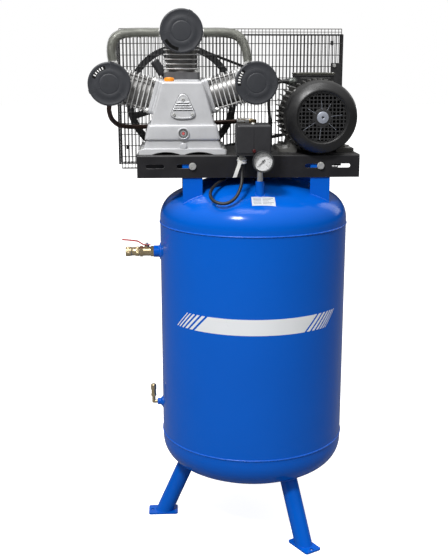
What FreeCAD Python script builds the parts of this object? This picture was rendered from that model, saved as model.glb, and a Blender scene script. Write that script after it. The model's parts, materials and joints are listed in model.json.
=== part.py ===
import FreeCAD, Part
import math
import os

# Belt-driven three-cylinder air compressor on a vertical receiver.
# Millimetres. Origin: tank axis at floor level. +X right, +Y back, +Z up.

# --- receiver -------------------------------------------------------------
TANK_R = 300.0
TANK_WALL = 4.0
HEAD_DEPTH = 140.0          # rise of each dished head above its equator
KNUCKLE_R = 85.0            # small radius at the rim of each dished head
LOWER_EQUATOR_Z = 292.0
LOWER_SEAM_Z = 315.0
UPPER_SEAM_Z = 1022.0
UPPER_EQUATOR_Z = 1037.0

# --- legs and feet ---------------------------------------------------------
LEG_ANGLES = (180.0, -60.0, 60.0)
LEG_R = 28.0
LEG_WALL = 3.0
LEG_TOP_RADIUS = 215.0      # where the leg axis meets the lower head
FOOT_RADIUS = 300.0         # where the leg axis meets the foot plate
FOOT_THICK = 6.0
FOOT_LONG = 100.0
FOOT_WIDE = 60.0
FOOT_HOLE_R = 6.0
FOOT_HOLE_PCD = 684.0

# --- platform --------------------------------------------------------------
DECK_X = (-364.0, 311.0)
DECK_Y = (-158.0, 158.0)
DECK_Z = 1249.0
DECK_SHEET = 4.0
FOOT_TOP_Z = 1261.0         # where the pump's and the motor's hold-down bolts seat
FLANGE_BOTTOM_Z = 1180.0
HEM_BOTTOM_Z = 1168.0       # the rear flange's hem hangs a little lower
HEM_END_X = 240.0
BRACKET_X = (-197.0, 192.0)
BRACKET_WIDE = 60.0
BRACKET_THICK = 6.0
BRACKET_BOLT_Z = 1215.0
BOLT_R = 5.0
BOLT_FLATS = 17.0
BOLT_HEAD = 7.0
WASHER_R = 11.0
WASHER_THICK = 2.0
NUT_HIGH = 8.0
THREAD_END = 5.0            # thread that stands out of a nut
PUMP_BOLTS_X = 121.0        # half spacings of the hold-down bolts
PUMP_BOLTS_Y = (-118.0, 58.0)
MOTOR_BOLTS_X = 95.0
MOTOR_BOLTS_Y = 70.0
SLOT_LONG = 56.0
SLOT_HIGH = 12.0

# --- pump --------------------------------------------------------------------
PUMP_X = -226.0
CRANK_Z = 1396.0
BANK_ANGLES = {"left": -74.0, "top": 0.0, "right": 74.0}
BANK_Y = {"left": -45.0, "top": -30.0, "right": -15.0}
FILTER_REACH = {"left": 224.0, "top": 214.0, "right": 232.0}
CRANKPIN_Y = -30.0
THROW = 22.0
CRANKPIN_R = 11.0
JOURNAL_R = 15.0
ROD_LENGTH = 100.0
ROD_THICK = 13.6
WRIST_PIN_R = 7.0
PISTON_R = 42.0
PISTON_TOP = 62.0           # crown height above the wrist pin
PISTON_SKIRT = 18.0         # skirt depth below the wrist pin
BORE_R = 42.3
CASE_TOP_Z = 1465.0
CASE_TOP_HALF = 61.0
CASE_SIDE_LEAN = math.tan(math.radians(16.0))
CASE_Y = (-145.0, 85.0)
CASE_WALL = 8.0
BAND_Z = (1294.0, 1334.0)
SIGHT_GLASS_Z = 1313.0
DRAIN_PLUG_Z = 1277.5
FILLER = (-264.0, -113.0)
COVER_SLOTS = 4
COVER_SLOT_Z = 1384.0
COVER_SLOT_PITCH = 6.6
COVER_SCREWS = ((-28.0, 1372.0), (28.0, 1372.0), (0.0, 1418.0))
SEAT_REACH = 84.0           # crank axis to the cylinder seats
BARREL_END = 186.0
HEAD_START = 192.0
HEAD_END = 240.0
HEAD_HALF = 52.0
FIN_HALF = 55.0
FIN_COUNT = 6
FIN_PITCH = 14.0
STUD_OFFSET = 44.0
FILTER_R = 64.0
FILTER_FRONT_Y = -140.0
FILTER_BACK_Y = -101.5
FINNED_PIPE_R = 13.0
FINNED_PIPE_BORE = 8.0

# --- drive -------------------------------------------------------------------
MOTOR_X = 189.0
MOTOR_Z = 1361.0
MOTOR_SHAFT_R = 14.0
STATOR_R = 97.0
STATOR_BORE_R = 90.0
STATOR_Y = (-105.0, 100.0)
STATOR_FINS = 40
STATOR_FIN_TIP = 112.0
STATOR_FIN_HALF = 1.4
BOX_HALF = 58.0             # terminal box, half width
BOX_Y = (-36.0, 76.0)
BOX_HIGH = (85.0, 122.0)    # above the motor's axis
BOX_WALL = 4.0
LID_LIP = 2.0
LID_THICK = 6.0
COWL_Y = -111.0
GRILLE_R = 70.0
GRILLE_HUB_R = 22.0
GRILLE_PITCH = 15.6
GRILLE_HOLE = 11.0
FAN_R = 88.0
FAN_Y = (-166.0, -144.0)
FAN_BLADES = 7
FLYWHEEL_R = 182.0
FLYWHEEL_RIM = 20.0         # radial depth of the rim, grooves included
FLYWHEEL_ARMS = 4
FLYWHEEL_ARM_TURN = -18.0    # first arm, above the horizontal on the right
PULLEY_R = 70.0
WHEEL_Y = (168.0, 212.0)
BELT_Y = (178.0, 200.0)
BELT_DEPTH = 8.0
BELT_WIDE = 9.2
BELT_INSET = 2.0            # belt top below the rim
GROOVE_DEPTH = 12.0
GROOVE_MOUTH = 14.2
GROOVE_FLOOR = 10.4

# --- guard -------------------------------------------------------------------
GUARD_NEAR_Y = (160.6, 163.6)
GUARD_FAR_Y = (228.5, 231.5)
GUARD_NEAR = (-437.0, 308.0, 1188.0, 1610.0)    # x low, x high, z low, z high
GUARD_FAR = (-432.0, 315.0, 1165.0, 1630.0)
WIRE = 3.0
CRANK_OPENING_R = 32.0
BOLT_OPENING_R = 13.0
POST_X = (268.0, 303.0)
POST_Y = (151.0, 157.0)
POST_TOP_Z = 1518.0

# --- control group -----------------------------------------------------------
RISER = (3.0, -205.0)
GAUGE = (5.0, 1241.0)       # x, z of the dial's centre
GAUGE_BACK_Y = -254.0
DIAL_R = 26.7
SWITCH_WALL = 3.0
BUTTON_R = 5.0
BUTTON_RISE = 7.0           # button's axis above the hood's lower edge
SWITCH_X = (-70.0, 32.0)
SWITCH_Y = (-250.0, -164.0)
SWITCH_Z = (1254.0, 1262.0, 1344.0)
SWITCH_GLAND = (-52.0, -218.0)
CHECK_VALVE = (8.0, 110.0)
DELIVERY_Z = 1332.0         # height of the delivery pipe where it enters the check valve
DELIVERY_NUT = (50.0, 15.0) # its nut's two ends, in front of the check valve's axis

# --- tank fittings -------------------------------------------------------------
OUTLET_Z = 923.0
OUTLET_STEM_X = -344.0
OUTLET_BODY_X = (-322.0, -367.0)
OUTLET_FLATS = 31.0
OUTLET_BORE_R = 9.0
BALL_R = 12.0
BALL_BORE_R = 8.0
STEM_R = 4.0
LEVER_THICK = 2.5
LEVER_HALF = 7.0
BOSS_START_X = -286.0
SAFETY_Z = 405.0
SAFETY_X = -331.0
DRAIN_Y = 150.0
ELBOW_R = 6.0
ELBOW_BORE_R = 3.0
SPINDLE_R = 2.0

# --- motor cable: one lead from the motor's terminal box to the pressure switch
CABLE_R = 5.0
CABLE_BEND_SHARE = 0.45
CABLE_ROUTE = (
    (106.0, 20.0, 1462.0),
    (82.0, 18.0, 1461.0),
    (61.0, 13.0, 1450.0),
    (49.0, 5.0, 1428.0),
    (46.0, -8.0, 1390.0),
    (50.0, -24.0, 1340.0),
    (51.0, -44.0, 1290.0),
    (44.0, -66.0, 1246.0),
    (18.0, -82.0, 1212.0),
    (-22.0, -96.0, 1195.0),
    (-68.0, -113.0, 1185.0),
    (-108.0, -142.0, 1170.0),
    (-136.0, -180.0, 1156.0),
    (-149.0, -220.0, 1138.0),
    (-138.0, -250.0, 1121.0),
    (-106.0, -263.0, 1114.0),
    (-74.0, -256.0, 1128.0),
    (-55.0, -239.0, 1162.0),
    (-51.0, -222.0, 1198.0),
    (-52.0, -218.0, 1222.0),
)
CABLE_HOLE = (44.0, -65.0)
CABLE_HOLE_R = 16.0


# --- building blocks -------------------------------------------------------------
def vec(x, y, z):
    return FreeCAD.Vector(x, y, z)


def block(x_span, y_span, z_span):
    corner = vec(x_span[0], y_span[0], z_span[0])
    return Part.makeBox(x_span[1] - x_span[0], y_span[1] - y_span[0], z_span[1] - z_span[0], corner)


def rod(radius, start, end):
    start = vec(*start)
    along = vec(*end) - start
    return Part.makeCylinder(radius, along.Length, start, along)


def hollow_rod(outer, inner, start, end):
    return rod(outer, start, end).cut(rod(inner, start, end))


def hexagon(across_flats, start, end):
    """Hexagonal bar between two points."""
    start = vec(*start)
    along = vec(*end) - start
    corner_r = across_flats / math.sqrt(3.0)
    corners = [vec(corner_r * math.cos(math.radians(60 * i)), corner_r * math.sin(math.radians(60 * i)), 0)
               for i in range(6)]
    bar = Part.Face(Part.makePolygon(corners + corners[:1])).extrude(vec(0, 0, along.Length))
    bar.Placement = FreeCAD.Placement(start, FreeCAD.Rotation(vec(0, 0, 1), along))
    return bar


def lathe(profile, start, direction):
    """Turn a closed (radius, height) outline about an axis from start towards direction."""
    corners = [vec(r, 0, h) for r, h in profile]
    face = Part.Face(Part.makePolygon(corners + corners[:1]))
    solid = face.revolve(vec(0, 0, 0), vec(0, 0, 1), 360)
    solid.Placement = FreeCAD.Placement(vec(*start), FreeCAD.Rotation(vec(0, 0, 1), vec(*direction)))
    return solid


def plate_xz(outline, y_span):
    """Flat plate cut to an (x, z) outline between two depths."""
    corners = [vec(x, y_span[0], z) for x, z in outline]
    face = Part.Face(Part.makePolygon(corners + corners[:1]))
    return face.extrude(vec(0, y_span[1] - y_span[0], 0))


def rounded_edges(solid, radius, chooser):
    """Round the edges for which chooser is true."""
    edges = [edge for edge in solid.Edges if chooser(edge)]
    return solid.makeFillet(radius, edges)


def runs_along(edge, axis):
    """True for a straight edge parallel to the axis."""
    if len(edge.Vertexes) != 2:
        return False
    along = edge.Vertexes[1].Point - edge.Vertexes[0].Point
    return abs(along.normalize().dot(vec(*axis))) > 0.999


def bend_path(points, share):
    """Straight runs joined by tangent arcs, each as large as share of its shorter run allows."""
    corners = [vec(*p) for p in points]
    edges = []
    radii = []
    here = corners[0]
    for i in range(1, len(corners) - 1):
        back = corners[i - 1] - corners[i]
        ahead = corners[i + 1] - corners[i]
        reach = share * min(back.Length, ahead.Length)
        turn = math.pi - back.getAngle(ahead)
        radii.append(reach / math.tan(turn / 2.0))
        back.normalize()
        ahead.normalize()
        first = corners[i] + back * reach
        last = corners[i] + ahead * reach
        inward = (back + ahead).normalize()
        centre_gap = radii[-1] / math.cos(turn / 2.0)
        middle = corners[i] + inward * (centre_gap - radii[-1])
        edges.append(Part.LineSegment(here, first).toShape())
        edges.append(Part.Arc(first, middle, last).toShape())
        here = last
    edges.append(Part.LineSegment(here, corners[-1]).toShape())
    return Part.Wire(edges), radii


def tube_along(points, radius, share=CABLE_BEND_SHARE):
    path, radii = bend_path(points, share)
    start = vec(*points[0])
    direction = vec(*points[1]) - start
    circle = Part.Wire([Part.Circle(start, direction, radius).toShape()])
    solid = path.makePipeShell([circle], True, False)
    return solid, path.Length, radii


def pipe_along(points, outer, inner):
    skin = tube_along(points, outer)[0]
    return skin.cut(tube_along(points, inner)[0])


def on_bank(solid, side):
    """Turn a solid built upwards from the crank axis onto one of the three cylinder banks."""
    turned = solid.copy()
    turned.rotate(vec(0, 0, 0), vec(0, 1, 0), BANK_ANGLES[side])
    turned.translate(vec(PUMP_X, BANK_Y[side], CRANK_Z))
    return turned


def bank_point(side, reach, across=0.0, depth=0.0):
    """Place of a point given along a bank's axis, across it and in depth."""
    angle = math.radians(BANK_ANGLES[side])
    x = PUMP_X + reach * math.sin(angle) + across * math.cos(angle)
    z = CRANK_Z + reach * math.cos(angle) - across * math.sin(angle)
    return x, BANK_Y[side] + depth, z


def crown_radius():
    """Large radius of a dished head that meets its knuckle smoothly and rises by HEAD_DEPTH."""
    ring = TANK_R - KNUCKLE_R
    return (ring ** 2 + HEAD_DEPTH ** 2 - KNUCKLE_R ** 2) / (2.0 * (HEAD_DEPTH - KNUCKLE_R))


def head_height(radius):
    """Height of a head's outer face above its equator plane, at a distance from the tank axis."""
    crown = crown_radius()
    ring = TANK_R - KNUCKLE_R
    if radius < ring * crown / (crown - KNUCKLE_R):
        return math.sqrt(crown ** 2 - radius ** 2) - (crown - HEAD_DEPTH)
    return math.sqrt(KNUCKLE_R ** 2 - (radius - ring) ** 2)


# --- receiver ----------------------------------------------------------------------
def filled_head(inset=0.0):
    """Closed dish standing on its equator plane, as large as a head less its inset."""
    crown = crown_radius()
    ring = TANK_R - KNUCKLE_R
    crown_centre_z = HEAD_DEPTH - crown
    meet = math.atan2(-crown_centre_z, ring)

    def on_knuckle(angle):
        reach = KNUCKLE_R - inset
        return vec(ring + reach * math.cos(angle), 0, reach * math.sin(angle))

    def on_crown(angle):
        reach = crown - inset
        return vec(reach * math.cos(angle), 0, crown_centre_z + reach * math.sin(angle))

    quarter = math.pi / 2.0
    knuckle = Part.Arc(on_knuckle(0), on_knuckle(meet / 2), on_knuckle(meet)).toShape()
    cap = Part.Arc(on_crown(meet), on_crown((meet + quarter) / 2), on_crown(quarter)).toShape()
    top = on_crown(quarter)
    floor = [Part.makeLine(top, vec(0, 0, 0)), Part.makeLine(vec(0, 0, 0), on_knuckle(0))]
    return Part.Face(Part.Wire([knuckle, cap] + floor)).revolve(vec(0, 0, 0), vec(0, 0, 1), 360)


def dished_head(seam_to_equator):
    """Head with its short straight skirt, open side down, seam at height zero."""
    dome = filled_head().cut(filled_head(TANK_WALL))
    dome.translate(vec(0, 0, seam_to_equator))
    skirt = hollow_rod(TANK_R, TANK_R - TANK_WALL, (0, 0, 0), (0, 0, seam_to_equator))
    return dome.fuse(skirt).removeSplitter()


def upper_bulk():
    """Solid bulk of the upper head, for trimming what is welded onto it."""
    bulk = filled_head()
    bulk.translate(vec(0, 0, UPPER_EQUATOR_Z))
    return bulk


def lower_bulk():
    bulk = filled_head()
    bulk.rotate(vec(0, 0, 0), vec(1, 0, 0), 180)
    bulk.translate(vec(0, 0, LOWER_EQUATOR_Z))
    return bulk


def port_bores():
    """Holes through the tank wall under each welded boss."""
    return [
        rod(10.0, (-TANK_R - 5, 0, OUTLET_Z), (-TANK_R + 20, 0, OUTLET_Z)),
        rod(5.0, (-TANK_R - 5, 0, SAFETY_Z), (-TANK_R + 20, 0, SAFETY_Z)),
        rod(5.0, (RISER[0], RISER[1], 1100), (RISER[0], RISER[1], 1180)),
        rod(8.0, (CHECK_VALVE[0], CHECK_VALVE[1], 1140), (CHECK_VALVE[0], CHECK_VALVE[1], 1190)),
        rod(5.0, (0, DRAIN_Y, 140), (0, DRAIN_Y, 200)),
    ]


def tank_shell():
    shell = hollow_rod(TANK_R, TANK_R - TANK_WALL, (0, 0, LOWER_SEAM_Z), (0, 0, UPPER_SEAM_Z))
    for bore in port_bores():
        shell = shell.cut(bore)
    return [shell]


def tank_heads():
    upper = dished_head(UPPER_EQUATOR_Z - UPPER_SEAM_Z)
    upper.translate(vec(0, 0, UPPER_SEAM_Z))
    lower = dished_head(LOWER_SEAM_Z - LOWER_EQUATOR_Z)
    lower.rotate(vec(0, 0, 0), vec(1, 0, 0), 180)
    lower.translate(vec(0, 0, LOWER_SEAM_Z))
    for bore in port_bores():
        upper = upper.cut(bore)
        lower = lower.cut(bore)
    return [upper, lower]


def tank_bosses():
    """Welded half couplings: outlet, safety valve, riser, check valve, drain."""
    wall = rod(TANK_R, (0, 0, LOWER_SEAM_Z), (0, 0, UPPER_SEAM_Z))
    outlet_profile = [(10, 0), (24, 0), (24, 14), (19, 20), (19, 36), (10, 36)]
    outlet = lathe(outlet_profile, (BOSS_START_X, 0, OUTLET_Z), (-1, 0, 0))
    safety_profile = [(5, 0), (17, 0), (17, 16), (11, 22), (11, 32), (5, 32)]
    safety = lathe(safety_profile, (BOSS_START_X, 0, SAFETY_Z), (-1, 0, 0))
    riser = hollow_rod(13.0, 5.0, (*RISER, 1120), (*RISER, 1175)).cut(upper_bulk())
    check = hollow_rod(17.0, 8.0, (*CHECK_VALVE, 1150), (*CHECK_VALVE, 1188)).cut(upper_bulk())
    drain = hollow_rod(13.0, 5.0, (0, DRAIN_Y, 185), (0, DRAIN_Y, 152)).cut(lower_bulk())
    return [outlet.cut(wall), safety.cut(wall), riser, check, drain]


def on_leg(solid, angle):
    turned = solid.copy()
    turned.rotate(vec(0, 0, 0), vec(0, 0, 1), angle)
    return turned


def tank_legs():
    """Three splayed tubes welded under the lower head."""
    meet_z = LOWER_EQUATOR_Z - head_height(LEG_TOP_RADIUS)
    foot = vec(FOOT_RADIUS, 0, FOOT_THICK)
    along = vec(LEG_TOP_RADIUS, 0, meet_z) - foot
    top = foot + along * 1.5
    low = foot - along * 0.2
    tube = hollow_rod(LEG_R, LEG_R - LEG_WALL, tuple(low), tuple(top))
    tube = tube.cut(lower_bulk())
    above_plate = block((100, 400), (-50, 50), (FOOT_THICK, meet_z + 60))
    tube = tube.common(above_plate)
    lower_half = max(tube.Solids, key=lambda s: s.Volume)
    return [on_leg(lower_half, angle) for angle in LEG_ANGLES] + foot_plates()


def foot_plates():
    """Flat foot plates, each with one anchor hole outside the leg."""
    outer_x = FOOT_RADIUS + FOOT_LONG / 2.0 + 5.0
    plate = block((outer_x - FOOT_LONG, outer_x), (-FOOT_WIDE / 2, FOOT_WIDE / 2), (0, FOOT_THICK))
    plate = rounded_edges(plate, 8.0, lambda e: runs_along(e, (0, 0, 1)))
    hole_x = FOOT_HOLE_PCD / 2.0
    plate = plate.cut(rod(FOOT_HOLE_R, (hole_x, 0, -1), (hole_x, 0, FOOT_THICK + 1)))
    return [on_leg(plate, angle) for angle in LEG_ANGLES]


# --- platform -----------------------------------------------------------------------
def flange_slot(x, y_side):
    """Rounded slot through a platform flange."""
    half = (SLOT_LONG - SLOT_HIGH) / 2.0
    y_span = (y_side * 150.0, y_side * 165.0)
    low, high = min(y_span), max(y_span)
    z = BRACKET_BOLT_Z
    middle = block((x - half, x + half), (low, high), (z - SLOT_HIGH / 2, z + SLOT_HIGH / 2))
    ends = [rod(SLOT_HIGH / 2, (x + s * half, low, z), (x + s * half, high, z)) for s in (-1, 1)]
    return middle.fuse(ends)


def base_platform():
    """Sheet folded down along its front and rear edges."""
    deck = block(DECK_X, DECK_Y, (FLANGE_BOTTOM_Z, DECK_Z))
    deck = rounded_edges(deck, 6.0, lambda e: runs_along(e, (1, 0, 0)) and e.CenterOfMass.z > DECK_Z - 1)
    inside = block((DECK_X[0] - 1, DECK_X[1] + 1), (DECK_Y[0] + DECK_SHEET, DECK_Y[1] - DECK_SHEET),
                   (FLANGE_BOTTOM_Z - 1, DECK_Z - DECK_SHEET))
    rear_y = (DECK_Y[1] - DECK_SHEET, DECK_Y[1])
    hem = block((DECK_X[0], HEM_END_X), rear_y, (HEM_BOTTOM_Z, FLANGE_BOTTOM_Z + 1))
    deck = deck.cut(inside).fuse(hem).removeSplitter()
    slots = {-1: (DECK_X[0] + 54, BRACKET_X[0] - 20, BRACKET_X[1] - 20, DECK_X[1] - 56),
             1: (BRACKET_X[0] - 20, BRACKET_X[1] - 20, DECK_X[1] - 45)}
    holes = [flange_slot(x, side) for side, centres in slots.items() for x in centres]
    for x, y in pump_bolt_places() + motor_bolt_places():
        holes.append(rod(BOLT_R + 0.5, (x, y, DECK_Z - 10), (x, y, DECK_Z + 5)))
    holes.append(rod(CABLE_HOLE_R, (*CABLE_HOLE, DECK_Z - 10), (*CABLE_HOLE, DECK_Z + 5)))
    holes.append(rod(22.0, (*CHECK_VALVE, DECK_Z - 10), (*CHECK_VALVE, DECK_Z + 5)))
    return [deck.cut(holes)]


def platform_brackets():
    """Four plates that stand on the upper head inside the flanges."""
    brackets = []
    for x in BRACKET_X:
        for side in (-1, 1):
            inner = side * (DECK_Y[1] - DECK_SHEET - BRACKET_THICK - 0.2)
            outer = side * (DECK_Y[1] - DECK_SHEET - 0.2)
            y_span = (min(inner, outer), max(inner, outer))
            plate = block((x - BRACKET_WIDE / 2, x + BRACKET_WIDE / 2), y_span, (1060, 1238))
            plate = plate.cut(upper_bulk())
            hole = rod(BOLT_R + 0.5, (x, y_span[0] - 5, BRACKET_BOLT_Z), (x, y_span[1] + 5, BRACKET_BOLT_Z))
            brackets.append(max(plate.cut(hole).Solids, key=lambda s: s.CenterOfMass.z))
    return brackets


def bolt(under_head, direction, grip):
    """Hexagon bolt with washer and nut, its head on the near side of the grip."""
    start = vec(*under_head)
    along = vec(*direction).normalize()
    points = {name: tuple(start + along * reach) for name, reach in
              (("head", -WASHER_THICK - BOLT_HEAD), ("washer", -WASHER_THICK), ("seat", 0.0), ("nut", grip),
               ("nut_end", grip + NUT_HIGH), ("tip", grip + NUT_HIGH + THREAD_END))}
    head = hexagon(BOLT_FLATS, points["head"], points["washer"])
    washer = rod(WASHER_R, points["washer"], points["seat"])
    shank = rod(BOLT_R, points["seat"], points["tip"])
    nut = hexagon(BOLT_FLATS, points["nut"], points["nut_end"])
    return head.fuse([washer, shank, nut]).removeSplitter()


def pump_bolt_places():
    return [(PUMP_X + x, y) for x in (-PUMP_BOLTS_X, PUMP_BOLTS_X) for y in PUMP_BOLTS_Y]


def motor_bolt_places():
    return [(MOTOR_X + side * MOTOR_BOLTS_X, y) for side in (-1, 1) for y in (-MOTOR_BOLTS_Y, MOTOR_BOLTS_Y)]


def platform_bolts():
    bolts = []
    for x in BRACKET_X:
        for side in (-1, 1):
            bolts.append(bolt((x, side * DECK_Y[1], BRACKET_BOLT_Z), (0, -side, 0),
                              DECK_SHEET + BRACKET_THICK + 0.3))
    for x, y in pump_bolt_places() + motor_bolt_places():
        bolts.append(bolt((x, y, FOOT_TOP_Z), (0, 0, -1), FOOT_TOP_Z - DECK_Z + DECK_SHEET))
    return bolts


# --- outlet valve ---------------------------------------------------------------------
def outlet_valve_body():
    z = OUTLET_Z
    near, far = OUTLET_BODY_X
    barrel = rod(15.0, (near, 0, z), (far, 0, z))
    ends = [hexagon(OUTLET_FLATS, (near, 0, z), (near - 10, 0, z)),
            hexagon(OUTLET_FLATS, (far + 10, 0, z), (far, 0, z))]
    neck = rod(8.0, (OUTLET_STEM_X, 0, z), (OUTLET_STEM_X, 0, z + 20))
    bore = rod(OUTLET_BORE_R, (near + 1, 0, z), (far - 1, 0, z))
    seat = Part.makeSphere(BALL_R + 0.3, vec(OUTLET_STEM_X, 0, z))
    stem_hole = rod(STEM_R + 0.06, (OUTLET_STEM_X, 0, z), (OUTLET_STEM_X, 0, z + 30))
    return [barrel.fuse(ends + [neck]).cut([bore, seat, stem_hole])]


def outlet_valve_ball():
    """Ball with its through bore and the stem that turns it."""
    z = OUTLET_Z
    ball = Part.makeSphere(BALL_R, vec(OUTLET_STEM_X, 0, z))
    ball = ball.fuse(rod(STEM_R, (OUTLET_STEM_X, 0, z), (OUTLET_STEM_X, 0, z + 26)))
    return [ball.cut(rod(BALL_BORE_R, (OUTLET_STEM_X - 20, 0, z), (OUTLET_STEM_X + 20, 0, z)))]


def outlet_valve_lever():
    """Flat lever bent up from the stem and then along the pipe."""
    z = OUTLET_Z + 20.5
    t = LEVER_THICK
    outline = [(10, 0), (-10, 0), (-30, 13), (-82, 18), (-82, 18 + t), (-31, 13 + t), (-10.8, t), (10, t)]
    arm = plate_xz([(OUTLET_STEM_X + x, z + dz) for x, dz in outline], (-LEVER_HALF, LEVER_HALF))
    nut = hexagon(10.0, (OUTLET_STEM_X, 0, z + t), (OUTLET_STEM_X, 0, z + t + 5))
    stem_hole = rod(STEM_R, (OUTLET_STEM_X, 0, z - 5), (OUTLET_STEM_X, 0, z + 12))
    return [arm.fuse(nut).cut(stem_hole)]


def outlet_coupling():
    """Round end coupling with two grip bands and an open threaded end."""
    profile = [(9, 0), (15.5, 0), (15.5, 14), (14, 16), (14, 26), (15.8, 28), (15.8, 46), (10.5, 46),
               (10.5, 22), (9, 20)]
    return [lathe(profile, (OUTLET_BODY_X[1], 0, OUTLET_Z), (-1, 0, 0))]


# --- safety and drain valves -------------------------------------------------------------
def safety_valve_body():
    """Elbow from the tank boss and the spring valve that stands on it."""
    corner = (SAFETY_X, 0, SAFETY_Z)
    start, end = (-318, 0, SAFETY_Z), (SAFETY_X, 0, SAFETY_Z + 20)
    arms = [rod(ELBOW_R, corner, end), Part.makeSphere(ELBOW_R, vec(*corner))]
    outside = rod(ELBOW_R, start, corner).fuse(arms)
    elbow = outside.cut(rod(ELBOW_BORE_R, start, corner).fuse(rod(ELBOW_BORE_R, corner, end)))
    base = SAFETY_Z + 20
    body = hexagon(16.0, (SAFETY_X, 0, base), (SAFETY_X, 0, base + 8))
    neck = rod(8.0, (SAFETY_X, 0, base + 8), (SAFETY_X, 0, base + 22))
    spindle = rod(SPINDLE_R, (SAFETY_X, 0, base + 22), (SAFETY_X, 0, base + 34))
    bore = rod(ELBOW_BORE_R, (SAFETY_X, 0, base - 1), (SAFETY_X, 0, base + 12))
    valve = body.fuse([neck, spindle]).cut(bore)
    return [elbow, valve]


def safety_valve_cap():
    """Knurled cap that lifts by hand to test the valve."""
    base = SAFETY_Z + 42.3
    profile = [(2.1, 0), (9, 0), (9, 18), (7.5, 20), (0, 20), (0, 15.5), (2.1, 15.5)]
    return [lathe(profile, (SAFETY_X, 0, base), (0, 0, 1))]


def drain_valve_body():
    body = hexagon(19.0, (0, DRAIN_Y, 152), (0, DRAIN_Y, 134))
    return [body.cut(rod(3.06, (0, DRAIN_Y, 153), (0, DRAIN_Y, 130)))]


def drain_valve_knob():
    """Knurled drain screw with its needle inside the body."""
    profile = [(0, 0), (3, 0), (3, 16), (13, 16), (13, 26), (11, 28), (0, 28)]
    return [lathe(profile, (0, DRAIN_Y, 149.7), (0, 0, -1))]


# --- control group ---------------------------------------------------------------------------
def riser_pipe():
    return [hollow_rod(8.5, 5.0, (*RISER, 1175), (*RISER, 1213))]


def switch_manifold():
    """Five-way block between riser, gauge and pressure switch."""
    body = block((-16, 24), (-222, -188), (1213, 1252))
    body = rounded_edges(body, 4.0, lambda e: runs_along(e, (0, 0, 1)))
    body = body.fuse(hexagon(22.0, (*RISER, 1252), (*RISER, 1254)))
    body = body.cut(rod(5.0, (*RISER, 1212), (*RISER, 1246)))
    return [body.cut(rod(4.0, (GAUGE[0], -223, GAUGE[1]), (GAUGE[0], -200, GAUGE[1])))]


def switch_base():
    inset = SWITCH_WALL
    base = block((SWITCH_X[0] + inset, SWITCH_X[1] - inset), (SWITCH_Y[0] + inset, SWITCH_Y[1] - inset),
                 SWITCH_Z[:2])
    base = rounded_edges(base, 6.0, lambda e: runs_along(e, (0, 0, 1)))
    gland_hole = rod(6.5, (*SWITCH_GLAND, SWITCH_Z[0] - 1), (*SWITCH_GLAND, SWITCH_Z[1] + 1))
    return [base.cut(gland_hole)]


def switch_cover():
    """Moulded hood, hollow below, with a groove down its face and a hole for the button."""
    hood = block(SWITCH_X, SWITCH_Y, SWITCH_Z[1:])
    hood = rounded_edges(hood, 7.0, lambda e: e.CenterOfMass.z > SWITCH_Z[1] + 1)
    inset = SWITCH_WALL
    hollow = block((SWITCH_X[0] + inset, SWITCH_X[1] - inset), (SWITCH_Y[0] + inset, SWITCH_Y[1] - inset),
                   (SWITCH_Z[1] - 1, SWITCH_Z[2] - inset))
    middle = sum(SWITCH_X) / 2.0
    groove = block((middle - 1, middle + 1), (SWITCH_Y[0] - 1, SWITCH_Y[0] + 1.2), (SWITCH_Z[1] + 12, 1330))
    z = SWITCH_Z[1] + BUTTON_RISE
    hole = rod(BUTTON_R + 0.3, (middle, SWITCH_Y[0] - 1, z), (middle, SWITCH_Y[0] + 5, z))
    return [hood.cut([hollow, groove, hole])]


def switch_button():
    middle = sum(SWITCH_X) / 2.0
    z = SWITCH_Z[1] + BUTTON_RISE
    cap = rod(BUTTON_R, (middle, SWITCH_Y[0] - 4, z), (middle, SWITCH_Y[0] + 8, z))
    return [rounded_edges(cap, 1.0, lambda e: e.CenterOfMass.y < SWITCH_Y[0] - 3)]


def gauge_point(forward):
    """Point on the gauge's axis, a distance in front of its case's back."""
    return GAUGE[0], GAUGE_BACK_Y - forward, GAUGE[1]


def gauge_case():
    """Round steel case, open to the front, with its rear stem."""
    profile = [(0, 0), (8, 0), (8, 4), (27, 4), (29.5, 7), (29.5, 28), (31, 29), (31, 33), (27, 33),
               (27, 7), (0, 7)]
    case = lathe(profile, gauge_point(0), (0, -1, 0))
    return [case.fuse(rod(6.0, gauge_point(0), (GAUGE[0], -222, GAUGE[1])))]


def gauge_dial():
    return [hollow_rod(DIAL_R, SPINDLE_R + 0.06, gauge_point(19), gauge_point(20))]


def gauge_needle():
    """Pointer at zero, lower left, on its spindle."""
    blade_y = (GAUGE_BACK_Y - 23.5, GAUGE_BACK_Y - 22.5)
    blade = plate_xz([(-1.6, -8), (1.6, -8), (0.5, 21), (-0.5, 21)], blade_y)
    blade = blade.fuse(rod(3.5, (0, blade_y[0], 0), (0, blade_y[1], 0)))
    blade.rotate(vec(0, 0, 0), vec(0, 1, 0), -135)
    blade.translate(vec(GAUGE[0], 0, GAUGE[1]))
    return [blade.fuse(rod(SPINDLE_R, gauge_point(13), gauge_point(24))).removeSplitter()]


def gauge_lens():
    return [rod(DIAL_R + 0.1, gauge_point(28), gauge_point(30))]


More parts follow.
